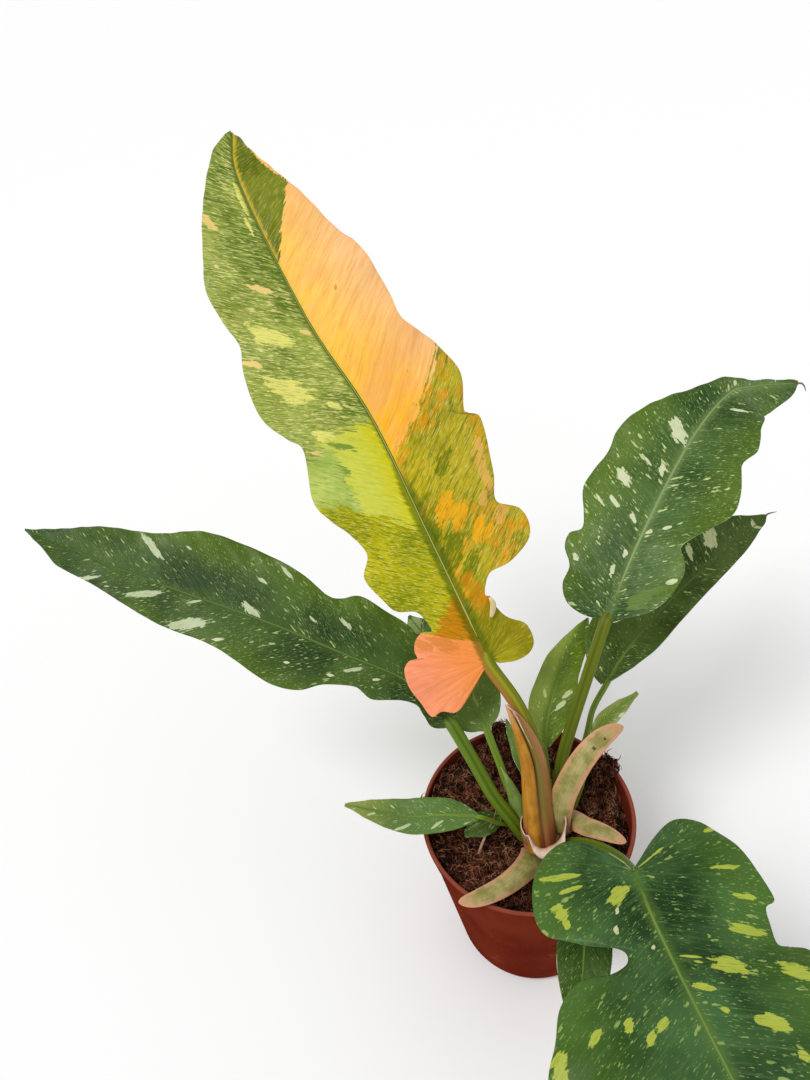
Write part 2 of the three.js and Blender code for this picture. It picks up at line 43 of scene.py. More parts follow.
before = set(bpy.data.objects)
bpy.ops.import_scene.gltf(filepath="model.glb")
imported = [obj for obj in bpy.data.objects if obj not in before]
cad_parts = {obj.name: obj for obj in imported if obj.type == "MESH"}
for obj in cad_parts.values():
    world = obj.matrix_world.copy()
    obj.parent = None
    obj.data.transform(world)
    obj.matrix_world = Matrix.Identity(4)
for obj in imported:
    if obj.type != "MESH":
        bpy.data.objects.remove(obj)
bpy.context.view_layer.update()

MM = 0.001

# Pot
POT_HEIGHT = 112
RIM_RADIUS = 60
FOOT_RADIUS = 44
WALL = 1.6
COLLAR_DROP = 11
COLLAR_STEP = 0.9
COLLAR_BOTTOM = POT_HEIGHT - COLLAR_DROP
LIP_HEIGHT = 3.2
LIP_WIDTH = 2.4
LIP_ROUND = 1.2
LIP_STEPS = 8
FOOT_HEIGHT = 3
FOOT_RING_WIDTH = 6
WALL_BOTTOM_RADIUS = FOOT_RADIUS + 0.9
WALL_TOP_RADIUS = RIM_RADIUS - COLLAR_STEP - 1.4
FLOOR = 2.2
DRAIN_HOLES = 6
DRAIN_RADIUS = 4
DRAIN_CIRCLE = 28
POT_SIDES = 144
DRAIN_SIDES = 28

# Soil and crown
SOIL_DROP = 12
CROWN_AT = (7, -11)
CROWN_RADIUS = 10
CROWN_BOTTOM = 80
CROWN_TOP = 106
CUP_BOTTOM = 99
CUP_THICKNESS = 0.6
SCALE_THICKNESS = 0.55

# Leaves
BLADE_THICKNESS = 0.6
VEIN_SPACING = 10.5
FAN_SPREAD = 26
QUILTING = 0.2
RUFFLE = 0.5
RUFFLE_LENGTH = 17

# How far the waves and the ruffles of the right side are out of step with the left
WAVE_SHIFT = 1.7
RUFFLE_SHIFT = 0.9

# Stalks, and the midribs that they run on as
STALK_RINGS = 130
STALK_DEPTH = 0.8
STALK_GROOVE = 0.12
GROOVE_ANGLE = 0.45
RIB_START = 8
RIB_STOP = 3
RIB_STEPS = 70
RIB_RISE = 0.35
RIB_TIP_HALF = 0.3
RIB_SHARE = 0.62
RIB_TAPER = 12

# Each row of an outline is a pair of side veins: where it leaves the midrib, then
# how far out and along its left and right ends lie on the margin.

RING_LEAF = {
    "node": "leaf_ring",
    "stalk": [[7, -12, 97], [10, -6, 113], [11, 2, 127], [9, 16, 149], [2, 28, 171], [-10, 42, 190]],
    "stalk_width": [9, 8],
    "midrib": [
        [-10, 43, 193], [-32, 87, 250], [-54, 127, 307], [-80, 161, 352], [-106, 216, 412],
        [-108, 247, 433],
    ],
    "facing": [[-0.06, -0.6, 0.8], [0.14, -0.85, 0.5]],
    "fold": 0.1,
    "bow": 0.002,
    "wave": 2,
    "quilting": 0.6,
    "wave_length": 46,
    "vein_lean": 0.8,
    "patch_shape": (1.0, 1.25),
    "sheen": 0.1,
    "grid": (72, 340),
    "outline": [
        [0, -4, -3.6, 5, -3.2],
        [1, -19, -14, 10, -5],
        [2, -28, -18, 14, -6.3],
        [3, -35, -14.5, 19, -6.3],
        [4, -41.5, -14.5, 23, -5],
        [5, -43.7, -5, 26, -2],
        [6.5, -45.5, 6, 27.3, 2],
        [8, -44, 15, 27.6, 6],
        [9.5, -39.5, 18.5, 27, 9.5],
        [11.7, -34.8, 18, 25, 12],
        [12.6, -34.5, 22, 22.5, 14],
        [13.2, -31.5, 27, 20, 16.5],
        [14, -26, 29.5, 18, 20],
        [21, -21.5, 27.6, 16.5, 25.5],
        [30, -21.5, 33, 16, 31],
        [44, -24.5, 41, 14, 34],
        [54, -34, 46, 21, 43],
        [64, -38, 55, 34, 44],
        [75, -42, 70, 48, 50],
        [88, -35, 81, 53, 58],
        [100, -39, 95, 52, 68],
        [112, -45, 106, 42, 77],
        [122, -49, 121, 47, 93],
        [146, -41, 149, 54, 121],
        [159, -45, 162, 47, 128],
        [171, -50, 181, 55, 146],
        [190, -45, 201, 52, 163],
        [211, -39, 215, 44, 182],
        [225, -41, 230, 47, 203],
        [240, -41, 250, 45, 233],
        [254, -31, 275, 38, 252],
        [270, -22, 293, 30, 274],
        [288, -14, 311, 20, 302],
        [306, -9, 323, 9, 320],
        [322, -4, 330, 4, 329],
        [334, -0.7, 334, 0.7, 334],
    ],
}

LEFT_LEAF = {
    "node": "leaf_left",
    "stalk": [[-2, -9, 97], [-9, -6, 113], [-18, 2, 128], [-26, 14, 145], [-34, 27, 160]],
    "stalk_width": [8, 7.4],
    "midrib": [
        [-36, 30, 163], [-57, 51, 178], [-90, 62, 196], [-129, 78, 213],
        [-179, 98, 230], [-219, 114, 245], [-265, 134, 264],
    ],
    "facing": [[0, -0.55, 0.83], [-0.1, -0.5, 0.86]],
    "fold": 0.12,
    "bow": 0.002,
    "wave": 1.5,
    "wave_length": 60,
    "vein_lean": 1.5,
    "patch_shape": (0.72, 1.7),
    "grid": (60, 220),
    "outline": [
        [0, -3, -2, 3, 0],
        [8, -9, 4, 6, 0],
        [18, -8, 12, 9, 7],
        [33, -7, 20, 17, 23],
        [45, -14, 36, 22, 35],
        [58, -18, 48, 28, 43],
        [72, -15, 60, 31, 57],
        [82, -20, 75, 34, 76],
        [92, -28, 86, 29, 85],
        [102, -31, 98, 27, 94],
        [114, -30, 112, 33, 113],
        [136, -23, 143, 38, 148],
        [162, -22, 174, 37, 174],
        [185, -19, 194, 28, 197],
        [207, -14, 221, 20, 228],
        [230, -12, 244, 10, 250],
        [249, -7, 255, 6, 260],
        [262, -3, 266, 3, 267],
        [273, -0.6, 273, 0.6, 273],
    ],
}

UPPER_RIGHT_LEAF = {
    "node": "leaf_right_upper",
    "stalk": [[15, -8, 97], [18, 2, 115], [23, 13, 132], [32, 25, 150], [44, 39, 171], [57, 53, 196]],
    "stalk_width": [7, 7],
    "midrib": [
        [59, 55, 199], [84, 80, 232], [123, 120, 262], [156, 149, 273], [178, 160, 270],
        [209, 166, 264],
    ],
    "facing": [[-0.35, -0.45, 0.82], [0.1, -0.5, 0.86]],
    "fold": 0.12,
    "bow": 0.002,
    "wave": 1.5,
    "wave_length": 50,
    "vein_lean": 0.6,
    "patch_shape": (0.85, 1.45),
    "grid": (64, 200),
    "outline": [
        [0, -3, -2, 4, -1],
        [5, -14, -3, 11, 5],
        [11, -24, 0, 20, 12],
        [16, -30, 9, 26, 22],
        [28, -30, 20, 29, 35],
        [39, -37, 29, 27, 44],
        [48, -38, 37, 22, 51],
        [55, -32, 42, 26, 60],
        [62, -35, 51, 33, 70],
        [76, -40, 61, 39, 82],
        [89, -41, 70, 37, 96],
        [112, -38, 90, 31, 114],
        [123, -39, 102, 34, 130],
        [138, -35, 115, 28, 147],
        [158, -26, 134, 24, 167],
        [175, -15, 151, 18, 188],
        [191, -7, 173, 11, 203],
        [206, -4, 196, 4, 211],
        [215, -0.6, 214, 0.6, 215],
    ],
}

LOWER_RIGHT_LEAF = {
    "node": "leaf_right_lower",
    "stalk": [[14, -4, 96], [25, 6, 110], [34, 17, 121], [43, 31, 133], [49, 41, 141], [58, 48, 151]],
    "stalk_width": [4, 3.6],
    "midrib": [[59, 49, 153], [79, 66, 164], [117, 93, 175], [149, 113, 180], [188, 136, 187]],
    "facing": [[-0.35, -0.5, 0.8], [-0.1, -0.5, 0.86]],
    "fold": 0.12,
    "bow": 0.002,
    "wave": 1,
    "wave_length": 50,
    "vein_lean": 0.5,
    "patch_shape": (1.0, 1.3),
    "grid": (44, 140),
    "outline": [
        [0, -2, -3, 2, 2],
        [6, -10, 0, 5, 8],
        [14, -19, 9, 9, 17],
        [28, -26, 22, 13, 35],
        [45, -29, 37, 13, 57],
        [65, -29, 57, 12, 88],
        [90, -26, 85, 10, 113],
        [114, -23, 115, 8, 132],
        [135, -18, 136, 5, 145],
        [150, -8, 151, 3, 154],
        [160, -0.6, 160, 0.6, 160],
    ],
}

FRONT_LEAF = {
    "node": "leaf_front",
    "stalk": [[14, -15, 97], [23, -24, 112], [29, -42, 136], [32, -62, 159], [32, -77, 174]],
    "stalk_width": [6.2, 6],
    "midrib": [
        [32, -78, 177], [33, -104, 180], [36, -140, 186], [41, -176, 187],
        [48, -216, 179], [58, -258, 157], [66, -288, 132],
    ],
    "facing": [[-0.1, -0.35, 0.93], [0.05, -0.6, 0.7]],
    "fold": 0.08,
    "bow": 0.0022,
    "wave": 2.5,
    "quilting": 0.55,
    "wave_length": 56,
    "vein_lean": 0.5,
    "patch_shape": (0.95, 1.25),
    "grid": (80, 264),
    "outline": [
        [0, -3, -4, 3, -3],
        [3, -14, -14, 12, -17],
        [7, -26, -20, 23, -24],
        [11, -37, -17, 35, -20],
        [16, -43, -8, 42, -10],
        [22, -47, 3, 46, 1],
        [27, -48.5, 15, 47, 11],
        [30, -49, 26, 44, 17],
        [33, -48, 29.5, 38, 20.3],
        [36.5, -44, 30.8, 30, 23.8],
        [41, -42.2, 37, 20, 28.2],
        [46.5, -40.3, 45.5, 15.8, 31.8],
        [51.5, -44, 48.3, 17.5, 36.3],
        [56, -49.5, 51.5, 25, 38.4],
        [60, -53, 60, 38, 37.5],
        [70, -48, 76, 48, 45],
        [80, -42, 88, 54, 56],
        [94, -40, 104, 62, 69],
        [112, -46, 122, 62, 92],
        [130, -50, 140, 56, 116],
        [150, -48, 164, 54, 138],
        [170, -42, 182, 48, 162],
        [190, -33, 201, 39, 186],
        [208, -23, 217, 27, 207],
        [222, -12, 228, 13, 224],
        [235, -0.7, 235, 0.7, 235],
    ],
}

ROUND_LEAF = {
    "node": "leaf_round",
    "stalk": [[3, -3, 97], [-3, 1, 110], [-8, 8, 122], [-11, 17, 134], [-15, 31, 147]],
    "stalk_width": [4.8, 4.4],
    "midrib": [[-15, 33, 149], [-24, 58, 158], [-35, 79, 166], [-50, 105, 176]],
    "facing": [[-0.1, -0.75, 0.65], [0, -0.6, 0.8]],
    "fold": 0.1,
    "bow": 0.003,
    "wave": 0.8,
    "wave_length": 40,
    "vein_lean": 0.7,
    "patch_shape": (1.0, 1.2),
    "grid": (36, 80),
    "outline": [
        [0, -3, -1, 3, -1],
        [5, -12, 4, 10, 3],
        [12, -19, 13, 15, 10],
        [22, -22, 26, 18, 20],
        [36, -21, 42, 18, 35],
        [52, -16, 60, 16, 52],
        [68, -9, 75, 10, 70],
        [85, -0.6, 85, 0.6, 85],
    ],
}

PALE_LEAF = {
    "node": "leaf_pale_centre",
    "stalk": [[8, -2, 97], [11, 3, 110], [15, 11, 122], [16, 23, 134]],
    "stalk_width": [3.6, 3],
    "midrib": [[16, 24, 135], [23, 41, 144], [38, 65, 158], [58, 87, 169]],
    "facing": [[-0.1, -0.6, 0.8], [-0.1, -0.6, 0.8]],
    "fold": 0.16,
    "bow": 0.003,
    "wave": 0.6,
    "wave_length": 40,
    "vein_lean": 1.2,
    "patch_shape": (1.0, 1.2),
    "grid": (36, 80),
    "outline": [
        [0, -1.5, 0, 2, 0],
        [6, -6, 6, 8, 8],
        [13, -11, 15, 12, 20],
        [24, -13, 26, 14, 33],
        [36, -12, 37, 11, 44],
        [50, -11, 49, 10, 56],
        [64, -8, 61, 8, 67],
        [76, -4, 75, 4, 77],
        [84, -0.6, 84, 0.6, 84],
    ],
}


def pointed_outline(length, width, widest, rows=7):
    """The outline of a plain pointed blade, widest at a share of its length."""
    power = math.log(0.5) / math.log(widest)
    outline = []
    for i in range(rows + 1):
        t = 0.02 + 0.98 * i / rows
        half = max(width / 2 * math.sin(math.pi * t**power) ** 0.8, 0.6) if t < 1 else 0.6
        outline.append([t * length, -half, t * length, half, t * length])
    return outline


SMALL_BLADE = {
    "fold": 0.18,
    "bow": 0.004,
    "wave": 0.3,
    "wave_length": 30,
    "vein_lean": 1.6,
    "patch_shape": (1.0, 1.2),
    "grid": (28, 60),
}


def small_leaf(node, width, widest, stalk_width, stalk, midrib, facing):
    leaf = {"node": node, "stalk": stalk, "stalk_width": stalk_width, "midrib": midrib}
    leaf["facing"] = [facing, facing]
    outline = pointed_outline(Midrib(leaf).length, width, widest)
    return {**SMALL_BLADE, **leaf, "outline": outline}


def small_leaves():
    return [
        small_leaf(
            "leaf_small_left",
            width=19,
            widest=0.42,
            stalk_width=[2.6, 2.4],
            stalk=[[-2, -5, 96], [-9, -4, 105], [-18, -8, 117], [-26, -11, 129]],
            midrib=[[-27, -11, 130], [-46, -9, 134], [-68, -6, 134], [-100, 4, 138]],
            facing=[-0.1, -0.4, 0.9],
        ),
        small_leaf(
            "leaf_tiny_left",
            width=14,
            widest=0.45,
            stalk_width=[2.2, 2],
            stalk=[[-1, -1, 93], [-8, 1, 100], [-14, 3, 104]],
            midrib=[[-15, 3, 105], [-26, -2, 108], [-37, -6, 106]],
            facing=[-0.1, -0.3, 0.9],
        ),
        small_leaf(
            "leaf_small_right",
            width=10.5,
            widest=0.38,
            stalk_width=[2.4, 2],
            stalk=[[17, -9, 94], [30, 3, 111], [38, 14, 122], [44, 26, 131]],
            midrib=[[44.5, 27, 131.5], [57, 36, 137], [77, 46, 143]],
            facing=[-0.2, -0.5, 0.85],
        ),
        small_leaf(
            "leaf_under_front",
            width=25,
            widest=0.42,
            stalk_width=[2.8, 2.6],
            stalk=[[8, -19, 93], [9, -34, 108], [12, -48, 123], [14, -58, 131]],
            midrib=[[14, -59, 132], [10, -82, 136], [3, -104, 133], [-3, -126, 124]],
            facing=[0, -0.2, 1],
        ),
        small_leaf(
            "leaf_sliver",
            width=7,
            widest=0.5,
            stalk_width=[2.4, 2.2],
            stalk=[[5, -4, 95], [3, 2, 112], [1, 12, 126]],
            midrib=[[1, 13, 127], [0, 25, 138], [-3, 38, 147]],
            facing=[-0.2, -0.7, 0.7],
        ),
    ]


# Curves and surfaces


def smooth_path(points, steps=48):
    """Points on a smooth curve through the given ones."""
    given = np.array(points, float)
    given = np.vstack([2 * given[0] - given[1], given, 2 * given[-1] - given[-2]])
    t = np.linspace(0, 1, steps, endpoint=False)[:, None]
    stretches = []
    for before, start, end, after in zip(given, given[1:], given[2:], given[3:]):
        bend = 2 * before - 5 * start + 4 * end - after
        twist = 3 * start - before - 3 * end + after
        stretches.append(start + 0.5 * ((end - before) * t + bend * t**2 + twist * t**3))
    return np.vstack([*stretches, given[-2:-1]])


def unit(vectors):
    return vectors / np.linalg.norm(vectors, axis=-1, keepdims=True)


def reach_along(path):
    """How far each place lies along a path."""
    return np.concatenate([[0], np.cumsum(np.linalg.norm(np.diff(path, axis=0), axis=1))])


def read_along(places, reach, table):
    """The columns of a table that goes with a path, read at places along that path."""
    return np.stack([np.interp(places, reach, column) for column in table.T], 1)


class Midrib:
    """A midline with the direction that its blade faces at each end. It turns a place on
    the flattened blade (out from the midline, along it, above it) into one in the part."""

    def __init__(self, leaf):
        self.path = smooth_path(leaf["midrib"])
        self.reach = reach_along(self.path)
        self.length = self.reach[-1]
        self.tangents = unit(np.gradient(self.path, self.reach, axis=0))
        self.facing = unit(np.array(leaf["facing"], float))

    def frames(self, along):
        along = np.atleast_1d(np.asarray(along, float))
        inside = np.clip(along, 0, self.length)
        forward = unit(read_along(inside, self.reach, self.tangents))
        origin = read_along(inside, self.reach, self.path) + forward * (along - inside)[:, None]
        share = (inside / self.length)[:, None]
        facing = self.facing[0] * (1 - share) + self.facing[1] * share
        side = unit(np.cross(forward, facing))
        return origin, side, np.cross(side, forward)

    def place(self, out, along, above):
        origin, side, up = self.frames(along)
        along_side = np.broadcast_to(out, along.shape)[:, None] * side
        return origin + along_side + np.broadcast_to(above, along.shape)[:, None] * up


def smooth_rows(outline, position):
    """The outline's five columns at places between its rows, on smooth curves."""
    table = np.array(outline, float)
    row = np.minimum(position.astype(int), len(table) - 2)
    u = (position - row)[:, None]
    before, start, end, after = (table[np.clip(row + i, 0, len(table) - 1)] for i in (-1, 0, 1, 2))
    slope_in = (end - before) / 2
    slope_out = (after - start) / 2
    rise = end - start
    bend = 3 * rise - 2 * slope_in - slope_out
    return (start + u * (slope_in + u * (bend + u * (slope_in + slope_out - 2 * rise)))).T


def vein_places(out, along, lean):
    """How far a place lies along its side vein, signed by its side, and where that vein
    leaves the midrib. Behind the first veins they fan out from the base."""
    leaves_at = along - lean * np.abs(out)
    turn = np.arctan2(np.abs(out), along) - math.atan2(1, lean)
    fan = leaves_at < 0
    start = np.where(fan, -turn * FAN_SPREAD, leaves_at)
    reach = np.where(fan, np.hypot(out, along), np.abs(out) * math.hypot(1, lean))
    return np.sign(out) * reach, start


def new_object(name, bm, materials, nodes=()):
    """A finished piece of the part, with its place in its mesh."""
    mesh = bpy.data.meshes.new(name)
    bm.to_mesh(mesh)
    bm.free()
    mesh.shade_smooth()
    for material in materials:
        mesh.materials.append(material)
    piece = bpy.data.objects.new(name, mesh)
    bpy.context.scene.collection.objects.link(piece)
    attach(piece, "root")
    if nodes:
        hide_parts(*nodes)
    return piece


def paint_uv(bm, name, u, v):
    """A UV map from one pair of values for each vertex, in metres."""
    layer = bm.loops.layers.uv.new(name)
    for face in bm.faces:
        for loop in face.loops:
            i = loop.vert.index
            loop[layer].uv = (u[i], v[i])


def grid(across, along):
    """A flat grid, its coordinates from -1 to 1, and those coordinates."""
    bm = bmesh.new()
    bmesh.ops.create_grid(bm, x_segments=across, y_segments=along, size=1)
    bm.verts.index_update()
    flat = np.array([v.co for v in bm.verts])
    return bm, flat[:, 0], flat[:, 1]


def move_vertices(bm, places):
    for vertex, place in zip(bm.verts, places * MM):
        vertex.co = place


def thicken(piece, thickness, materials=True):
    wall = piece.modifiers.new("Thickness", "SOLIDIFY")
    wall.thickness = thickness * MM
    wall.offset = -1
    if materials:
        wall.material_offset = 1
        wall.material_offset_rim = 2
    piece.modifiers.new("Even shading", "WEIGHTED_NORMAL")


def flat_blade(leaf, x, y):
    """How far out and along the flat blade the places of its grid lie."""
    rows = (y + 1) / 2 * (len(leaf["outline"]) - 1)
    rib, left_out, left_along, right_out, right_along = smooth_rows(leaf["outline"], rows)
    share = np.abs(x)
    out = np.where(x < 0, left_out, right_out) * share
    return out, rib * (1 - share) + np.where(x < 0, left_along, right_along) * share


def blade_relief(leaf, share, out, along, start):
    """The height of a blade over its flat shape: its fold, waves, ruffles and quilting."""
    right = out > 0
    wave = np.sin(2 * np.pi * along / leaf["wave_length"] + WAVE_SHIFT * right)
    ruffle = np.sin(2 * np.pi * start / RUFFLE_LENGTH + RUFFLE_SHIFT * right)
    between_veins = np.abs(np.sin(np.pi * (start / VEIN_SPACING + 0.5 * right)))
    quilting = leaf.get("quilting", QUILTING) * between_veins**0.7
    height = leaf["fold"] * np.abs(out) - leaf["bow"] * out**2 + leaf["wave"] * wave * share**2
    return height + RUFFLE * ruffle * share**4 + quilting * np.minimum(1, 8 * share) * (1 - share**6)


def make_blade(leaf, name, materials):
    bm, x, y = grid(*leaf["grid"])
    out, along = flat_blade(leaf, x, y)
    length, start = vein_places(out, along, leaf["vein_lean"])
    paint_uv(bm, "blade", out * MM, along * MM)
    paint_uv(bm, "veins", length * MM, start * MM)
    height = blade_relief(leaf, np.abs(x), out, along, start)
    move_vertices(bm, Midrib(leaf).place(out, along, height))
    blade = new_object(name, bm, materials, [leaf["node"]])
    thicken(blade, BLADE_THICKNESS)
    return blade


def cut_into_rings(bm, rings):
    """Cuts a cylinder of height 1 across, into so many rings."""
    upright = [edge for edge in bm.edges if abs(edge.verts[0].co.z - edge.verts[1].co.z) > 0.5]
    bmesh.ops.subdivide_edges(bm, edges=upright, cuts=rings - 1)


def make_tube(name, path, facing, half_width, half_depth, material, start=0.0, sides=20, groove=0.0):
    """A closed tube through evenly spaced places, with a groove along the side that faces.
    Its map measures the length from a place that is start along it."""
    rings = len(path) - 1
    bm = bmesh.new()
    bmesh.ops.create_cone(bm, cap_ends=True, segments=sides, radius1=1, radius2=1, depth=1)
    cut_into_rings(bm, rings)
    bm.verts.index_update()
    flat = np.array([v.co for v in bm.verts])
    ring = np.rint((flat[:, 2] + 0.5) * rings).astype(int)
    reach = reach_along(path)
    forward = unit(np.gradient(path, reach, axis=0))
    side = unit(np.cross(forward, facing))
    up = np.cross(side, forward)
    angle = np.arctan2(flat[:, 1], flat[:, 0])
    dent = 1 - groove * np.exp(-(((angle - np.pi / 2) / GROOVE_ANGLE) ** 2))
    wide = (flat[:, 0] * half_width[ring] * dent)[:, None]
    deep = (flat[:, 1] * half_depth[ring] * dent)[:, None]
    paint_uv(bm, "blade", flat[:, 0], (reach[ring] - start) * MM)
    move_vertices(bm, path[ring] + side[ring] * wide + up[ring] * deep)
    bmesh.ops.recalc_face_normals(bm, faces=bm.faces)
    return new_object(name, bm, [material])


def make_stalk(leaf, name, material):
    """The stalk of a leaf, which runs on under its blade as the midrib."""
    midrib = Midrib(leaf)
    base_half, top_half = (width / 2 for width in leaf["stalk_width"])
    along = np.linspace(RIB_START, midrib.length - RIB_STOP, RIB_STEPS)
    share = along / midrib.length
    rib_half = RIB_TIP_HALF + (top_half * RIB_SHARE - RIB_TIP_HALF) * (1 - share) ** 1.2
    rib_half += (top_half - rib_half[0]) * np.exp(-(along - RIB_START) / RIB_TAPER)
    rib_path = midrib.place(0, along, RIB_RISE - STALK_DEPTH * rib_half)
    joint = midrib.place(0, np.array([3.0]), RIB_RISE - STALK_DEPTH * top_half)
    stalk_path = smooth_path(leaf["stalk"] + [joint[0].tolist()], 8)
    stalk_share = np.linspace(0, 1, len(stalk_path))
    stalk_half = base_half + (top_half - base_half) * np.minimum(1, 1.6 * stalk_share)
    path = np.vstack([stalk_path, rib_path])
    half = np.concatenate([stalk_half, rib_half])
    facing = np.vstack([np.repeat(midrib.facing[:1], len(stalk_path), 0), midrib.frames(along)[2]])
    reach = reach_along(path)
    even = np.linspace(0, reach[-1], STALK_RINGS)
    even_half = np.interp(even, reach, half)
    return make_tube(
        name,
        read_along(even, reach, path),
        read_along(even, reach, facing),
        even_half,
        STALK_DEPTH * even_half,
        material,
        start=reach[len(stalk_path) - 1],
        groove=STALK_GROOVE,
    )


# Shader building


def srgb(red, green, blue):
    """A colour as a photo editor shows it, made linear for a shader socket."""
    shares = (red / 255, green / 255, blue / 255)
    linear = [c / 12.92 if c <= 0.04045 else ((c + 0.055) / 1.055) ** 2.4 for c in shares]
    return (*linear, 1)


class Shader:
    """Adds nodes to a tree and joins them, so that a pattern reads from top to bottom."""

    def __init__(self, tree):
        self.tree = tree

    def node(self, kind, inputs=None, **settings):
        made = self.tree.nodes.new("ShaderNode" + kind)
        for key, value in settings.items():
            setattr(made, key, value)
        for key, value in (inputs or {}).items():
            self.feed(made.inputs[key], value)
        return made

    def feed(self, socket, value):
        if isinstance(value, bpy.types.NodeSocket):
            self.tree.links.new(value, socket)
        elif value is not None:
            socket.default_value = value

    def math(self, operation, a, b=None, clamp=False):
        return self.node("Math", {0: a, 1: b}, operation=operation, use_clamp=clamp).outputs[0]

    def times(self, a, b):
        return self.math("MULTIPLY", a, b)

    def over(self, a, b):
        return self.math("DIVIDE", a, b)

    def plus(self, a, b, clamp=False):
        return self.math("ADD", a, b, clamp)

    def minus(self, a, b):
        return self.math("SUBTRACT", a, b)

    def size(self, value):
        return self.math("ABSOLUTE", value)

    def vector_math(self, operation, a, b=None, output=0):
        return self.node("VectorMath", {0: a, 1: b}, operation=operation).outputs[output]

    def mix(self, factor, a, b, blend="MIX"):
        inputs = {0: factor, 6: a, 7: b}
        return self.node("Mix", inputs, data_type="RGBA", blend_type=blend).outputs[2]

    def tint(self, factor, a, b):
        return self.mix(factor, a, b, "MULTIPLY")

    def between(self, value, low, high, out_low=0.0, out_high=1.0):
        inputs = {0: value, 1: low, 2: high, 3: out_low, 4: out_high}
        return self.node("MapRange", inputs, interpolation_type="SMOOTHSTEP").outputs[0]

    def axes(self, vector):
        return self.node("SeparateXYZ", {0: vector}).outputs

    def vector(self, x, y, z=0.0):
        return self.node("CombineXYZ", {0: x, 1: y, 2: z}).outputs[0]

    def noise(self, vector, scale=1.0, detail=2.0, roughness=0.5):
        inputs = {"Vector": vector, "Scale": scale, "Detail": detail, "Roughness": roughness}
        return self.node("TexNoise", inputs).outputs[0]

    def drawn_noise(self, x, y, x_scale, y_scale, detail, roughness=0.5):
        """Noise that is drawn out along one of two axes."""
        return self.noise(self.vector(self.times(x, x_scale), self.times(y, y_scale)), 1.0, detail, roughness)

    def swing(self, value, strength):
        """A value from 0 to 1 made to swing about 0."""
        return self.times(self.minus(value, 0.5), strength)

    def map(self, name):
        return self.node("UVMap", uv_map=name).outputs[0]

    def place(self):
        return self.node("TexCoord").outputs["Object"]

    def group(self, tree, **inputs):
        made = self.tree.nodes.new("ShaderNodeGroup")
        made.node_tree = tree
        for key, value in inputs.items():
            self.feed(made.inputs[key.replace("_", " ")], value)
        return made.outputs[0]


def group_nodes(name, output, **inputs):
    tree = bpy.data.node_groups.new(name, "ShaderNodeTree")
    for key, kind in inputs.items():
        tree.interface.new_socket(key.replace("_", " "), in_out="INPUT", socket_type="NodeSocket" + kind)
    tree.interface.new_socket(output, in_out="OUTPUT", socket_type="NodeSocketFloat")
    given = tree.nodes.new("NodeGroupInput").outputs
    result = tree.nodes.new("NodeGroupOutput").inputs[0]
    return tree, Shader(tree), given, result


@cache
def vein_streaks():
    """Short streaks along the side veins."""
    tree, shader, given, result = group_nodes(
        "Vein streaks",
        "Mask",
        Veins="Vector",
        Length="Float",
        Width="Float",
        Cut="Float",
        Soft="Float",
        Seed="Float",
    )
    x, y, _ = shader.axes(given["Veins"])
    streaks = shader.vector(shader.over(x, given["Length"]), shader.over(y, given["Width"]), given["Seed"])
    value = shader.noise(streaks, 1.0, 1.5, 0.55)
    low = shader.minus(given["Cut"], given["Soft"])
    high = shader.plus(given["Cut"], given["Soft"])
    shader.feed(result, shader.between(value, low, high))
    return tree


@cache
def leaf_specks():
    """Scattered specks of many sizes, drawn out along the side veins."""
    tree, shader, given, result = group_nodes(
        "Leaf specks", "Mask", Veins="Vector", Length="Float", Width="Float", Size="Float", Seed="Float"
    )
    x, y, _ = shader.axes(given["Veins"])
    cells = shader.vector(shader.over(x, given["Length"]), shader.over(y, given["Width"]), given["Seed"])
    wobble = shader.noise(cells, 2.3, 2.0, 0.6)
    bent = shader.vector_math("ADD", cells, shader.vector(wobble, shader.times(wobble, 0.8)))
    nearest = shader.node("TexVoronoi", {"Vector": bent, "Scale": 1.0, "Randomness": 1.0})
    chance = shader.axes(nearest.outputs["Color"])[0]
    reach = shader.times(shader.math("POWER", chance, 3.0), given["Size"])
    reach = shader.times(reach, shader.plus(wobble, 0.5))
    edge = shader.times(reach, 0.75)
    shader.feed(result, shader.between(nearest.outputs["Distance"], edge, reach, 1.0, 0.0))
    return tree


@cache
def leaf_patch():
    """One patch with ragged ends, its length along the side veins."""
    tree, shader, given, result = group_nodes(
        "Leaf patch", "Mask", Veins="Vector", Centre="Vector", Half_Size="Vector", Ragged="Float"
    )
    from_centre = shader.vector_math("SUBTRACT", given["Veins"], given["Centre"])
    share = shader.vector_math("DIVIDE", from_centre, given["Half Size"])
    reach = shader.vector_math("LENGTH", share, output=1)
    shader.feed(result, shader.between(shader.plus(reach, given["Ragged"]), 0.93, 1.07, 1.0, 0.0))
    return tree


@cache
def past_line():
    """The part of a blade past a straight line, with teeth along the side veins."""
    tree, shader, given, result = group_nodes(
        "Past a line", "Mask", Blade="Vector", Direction="Vector", Start="Float", Teeth="Float"
    )
    reach = shader.vector_math("DOT_PRODUCT", given["Blade"], given["Direction"], output=1)
    past = shader.plus(shader.minus(reach, given["Start"]), given["Teeth"])
    shader.feed(result, shader.between(past, -0.4 * MM, 0.4 * MM))
    return tree


@cache
def side_veins():
    """The thin lines of the side veins, a little wavy."""
    tree, shader, given, result = group_nodes("Side veins", "Mask", Veins="Vector", Place="Vector")
    _, y, _ = shader.axes(given["Veins"])
    sway = shader.times(shader.noise(given["Place"], 45.0, 1.0), 4 * MM)
    apart = shader.math("PINGPONG", shader.plus(y, sway), VEIN_SPACING * MM / 2)
    shader.feed(result, shader.between(apart, 0.1 * MM, 0.6 * MM, 1.0, 0.0))
    return tree


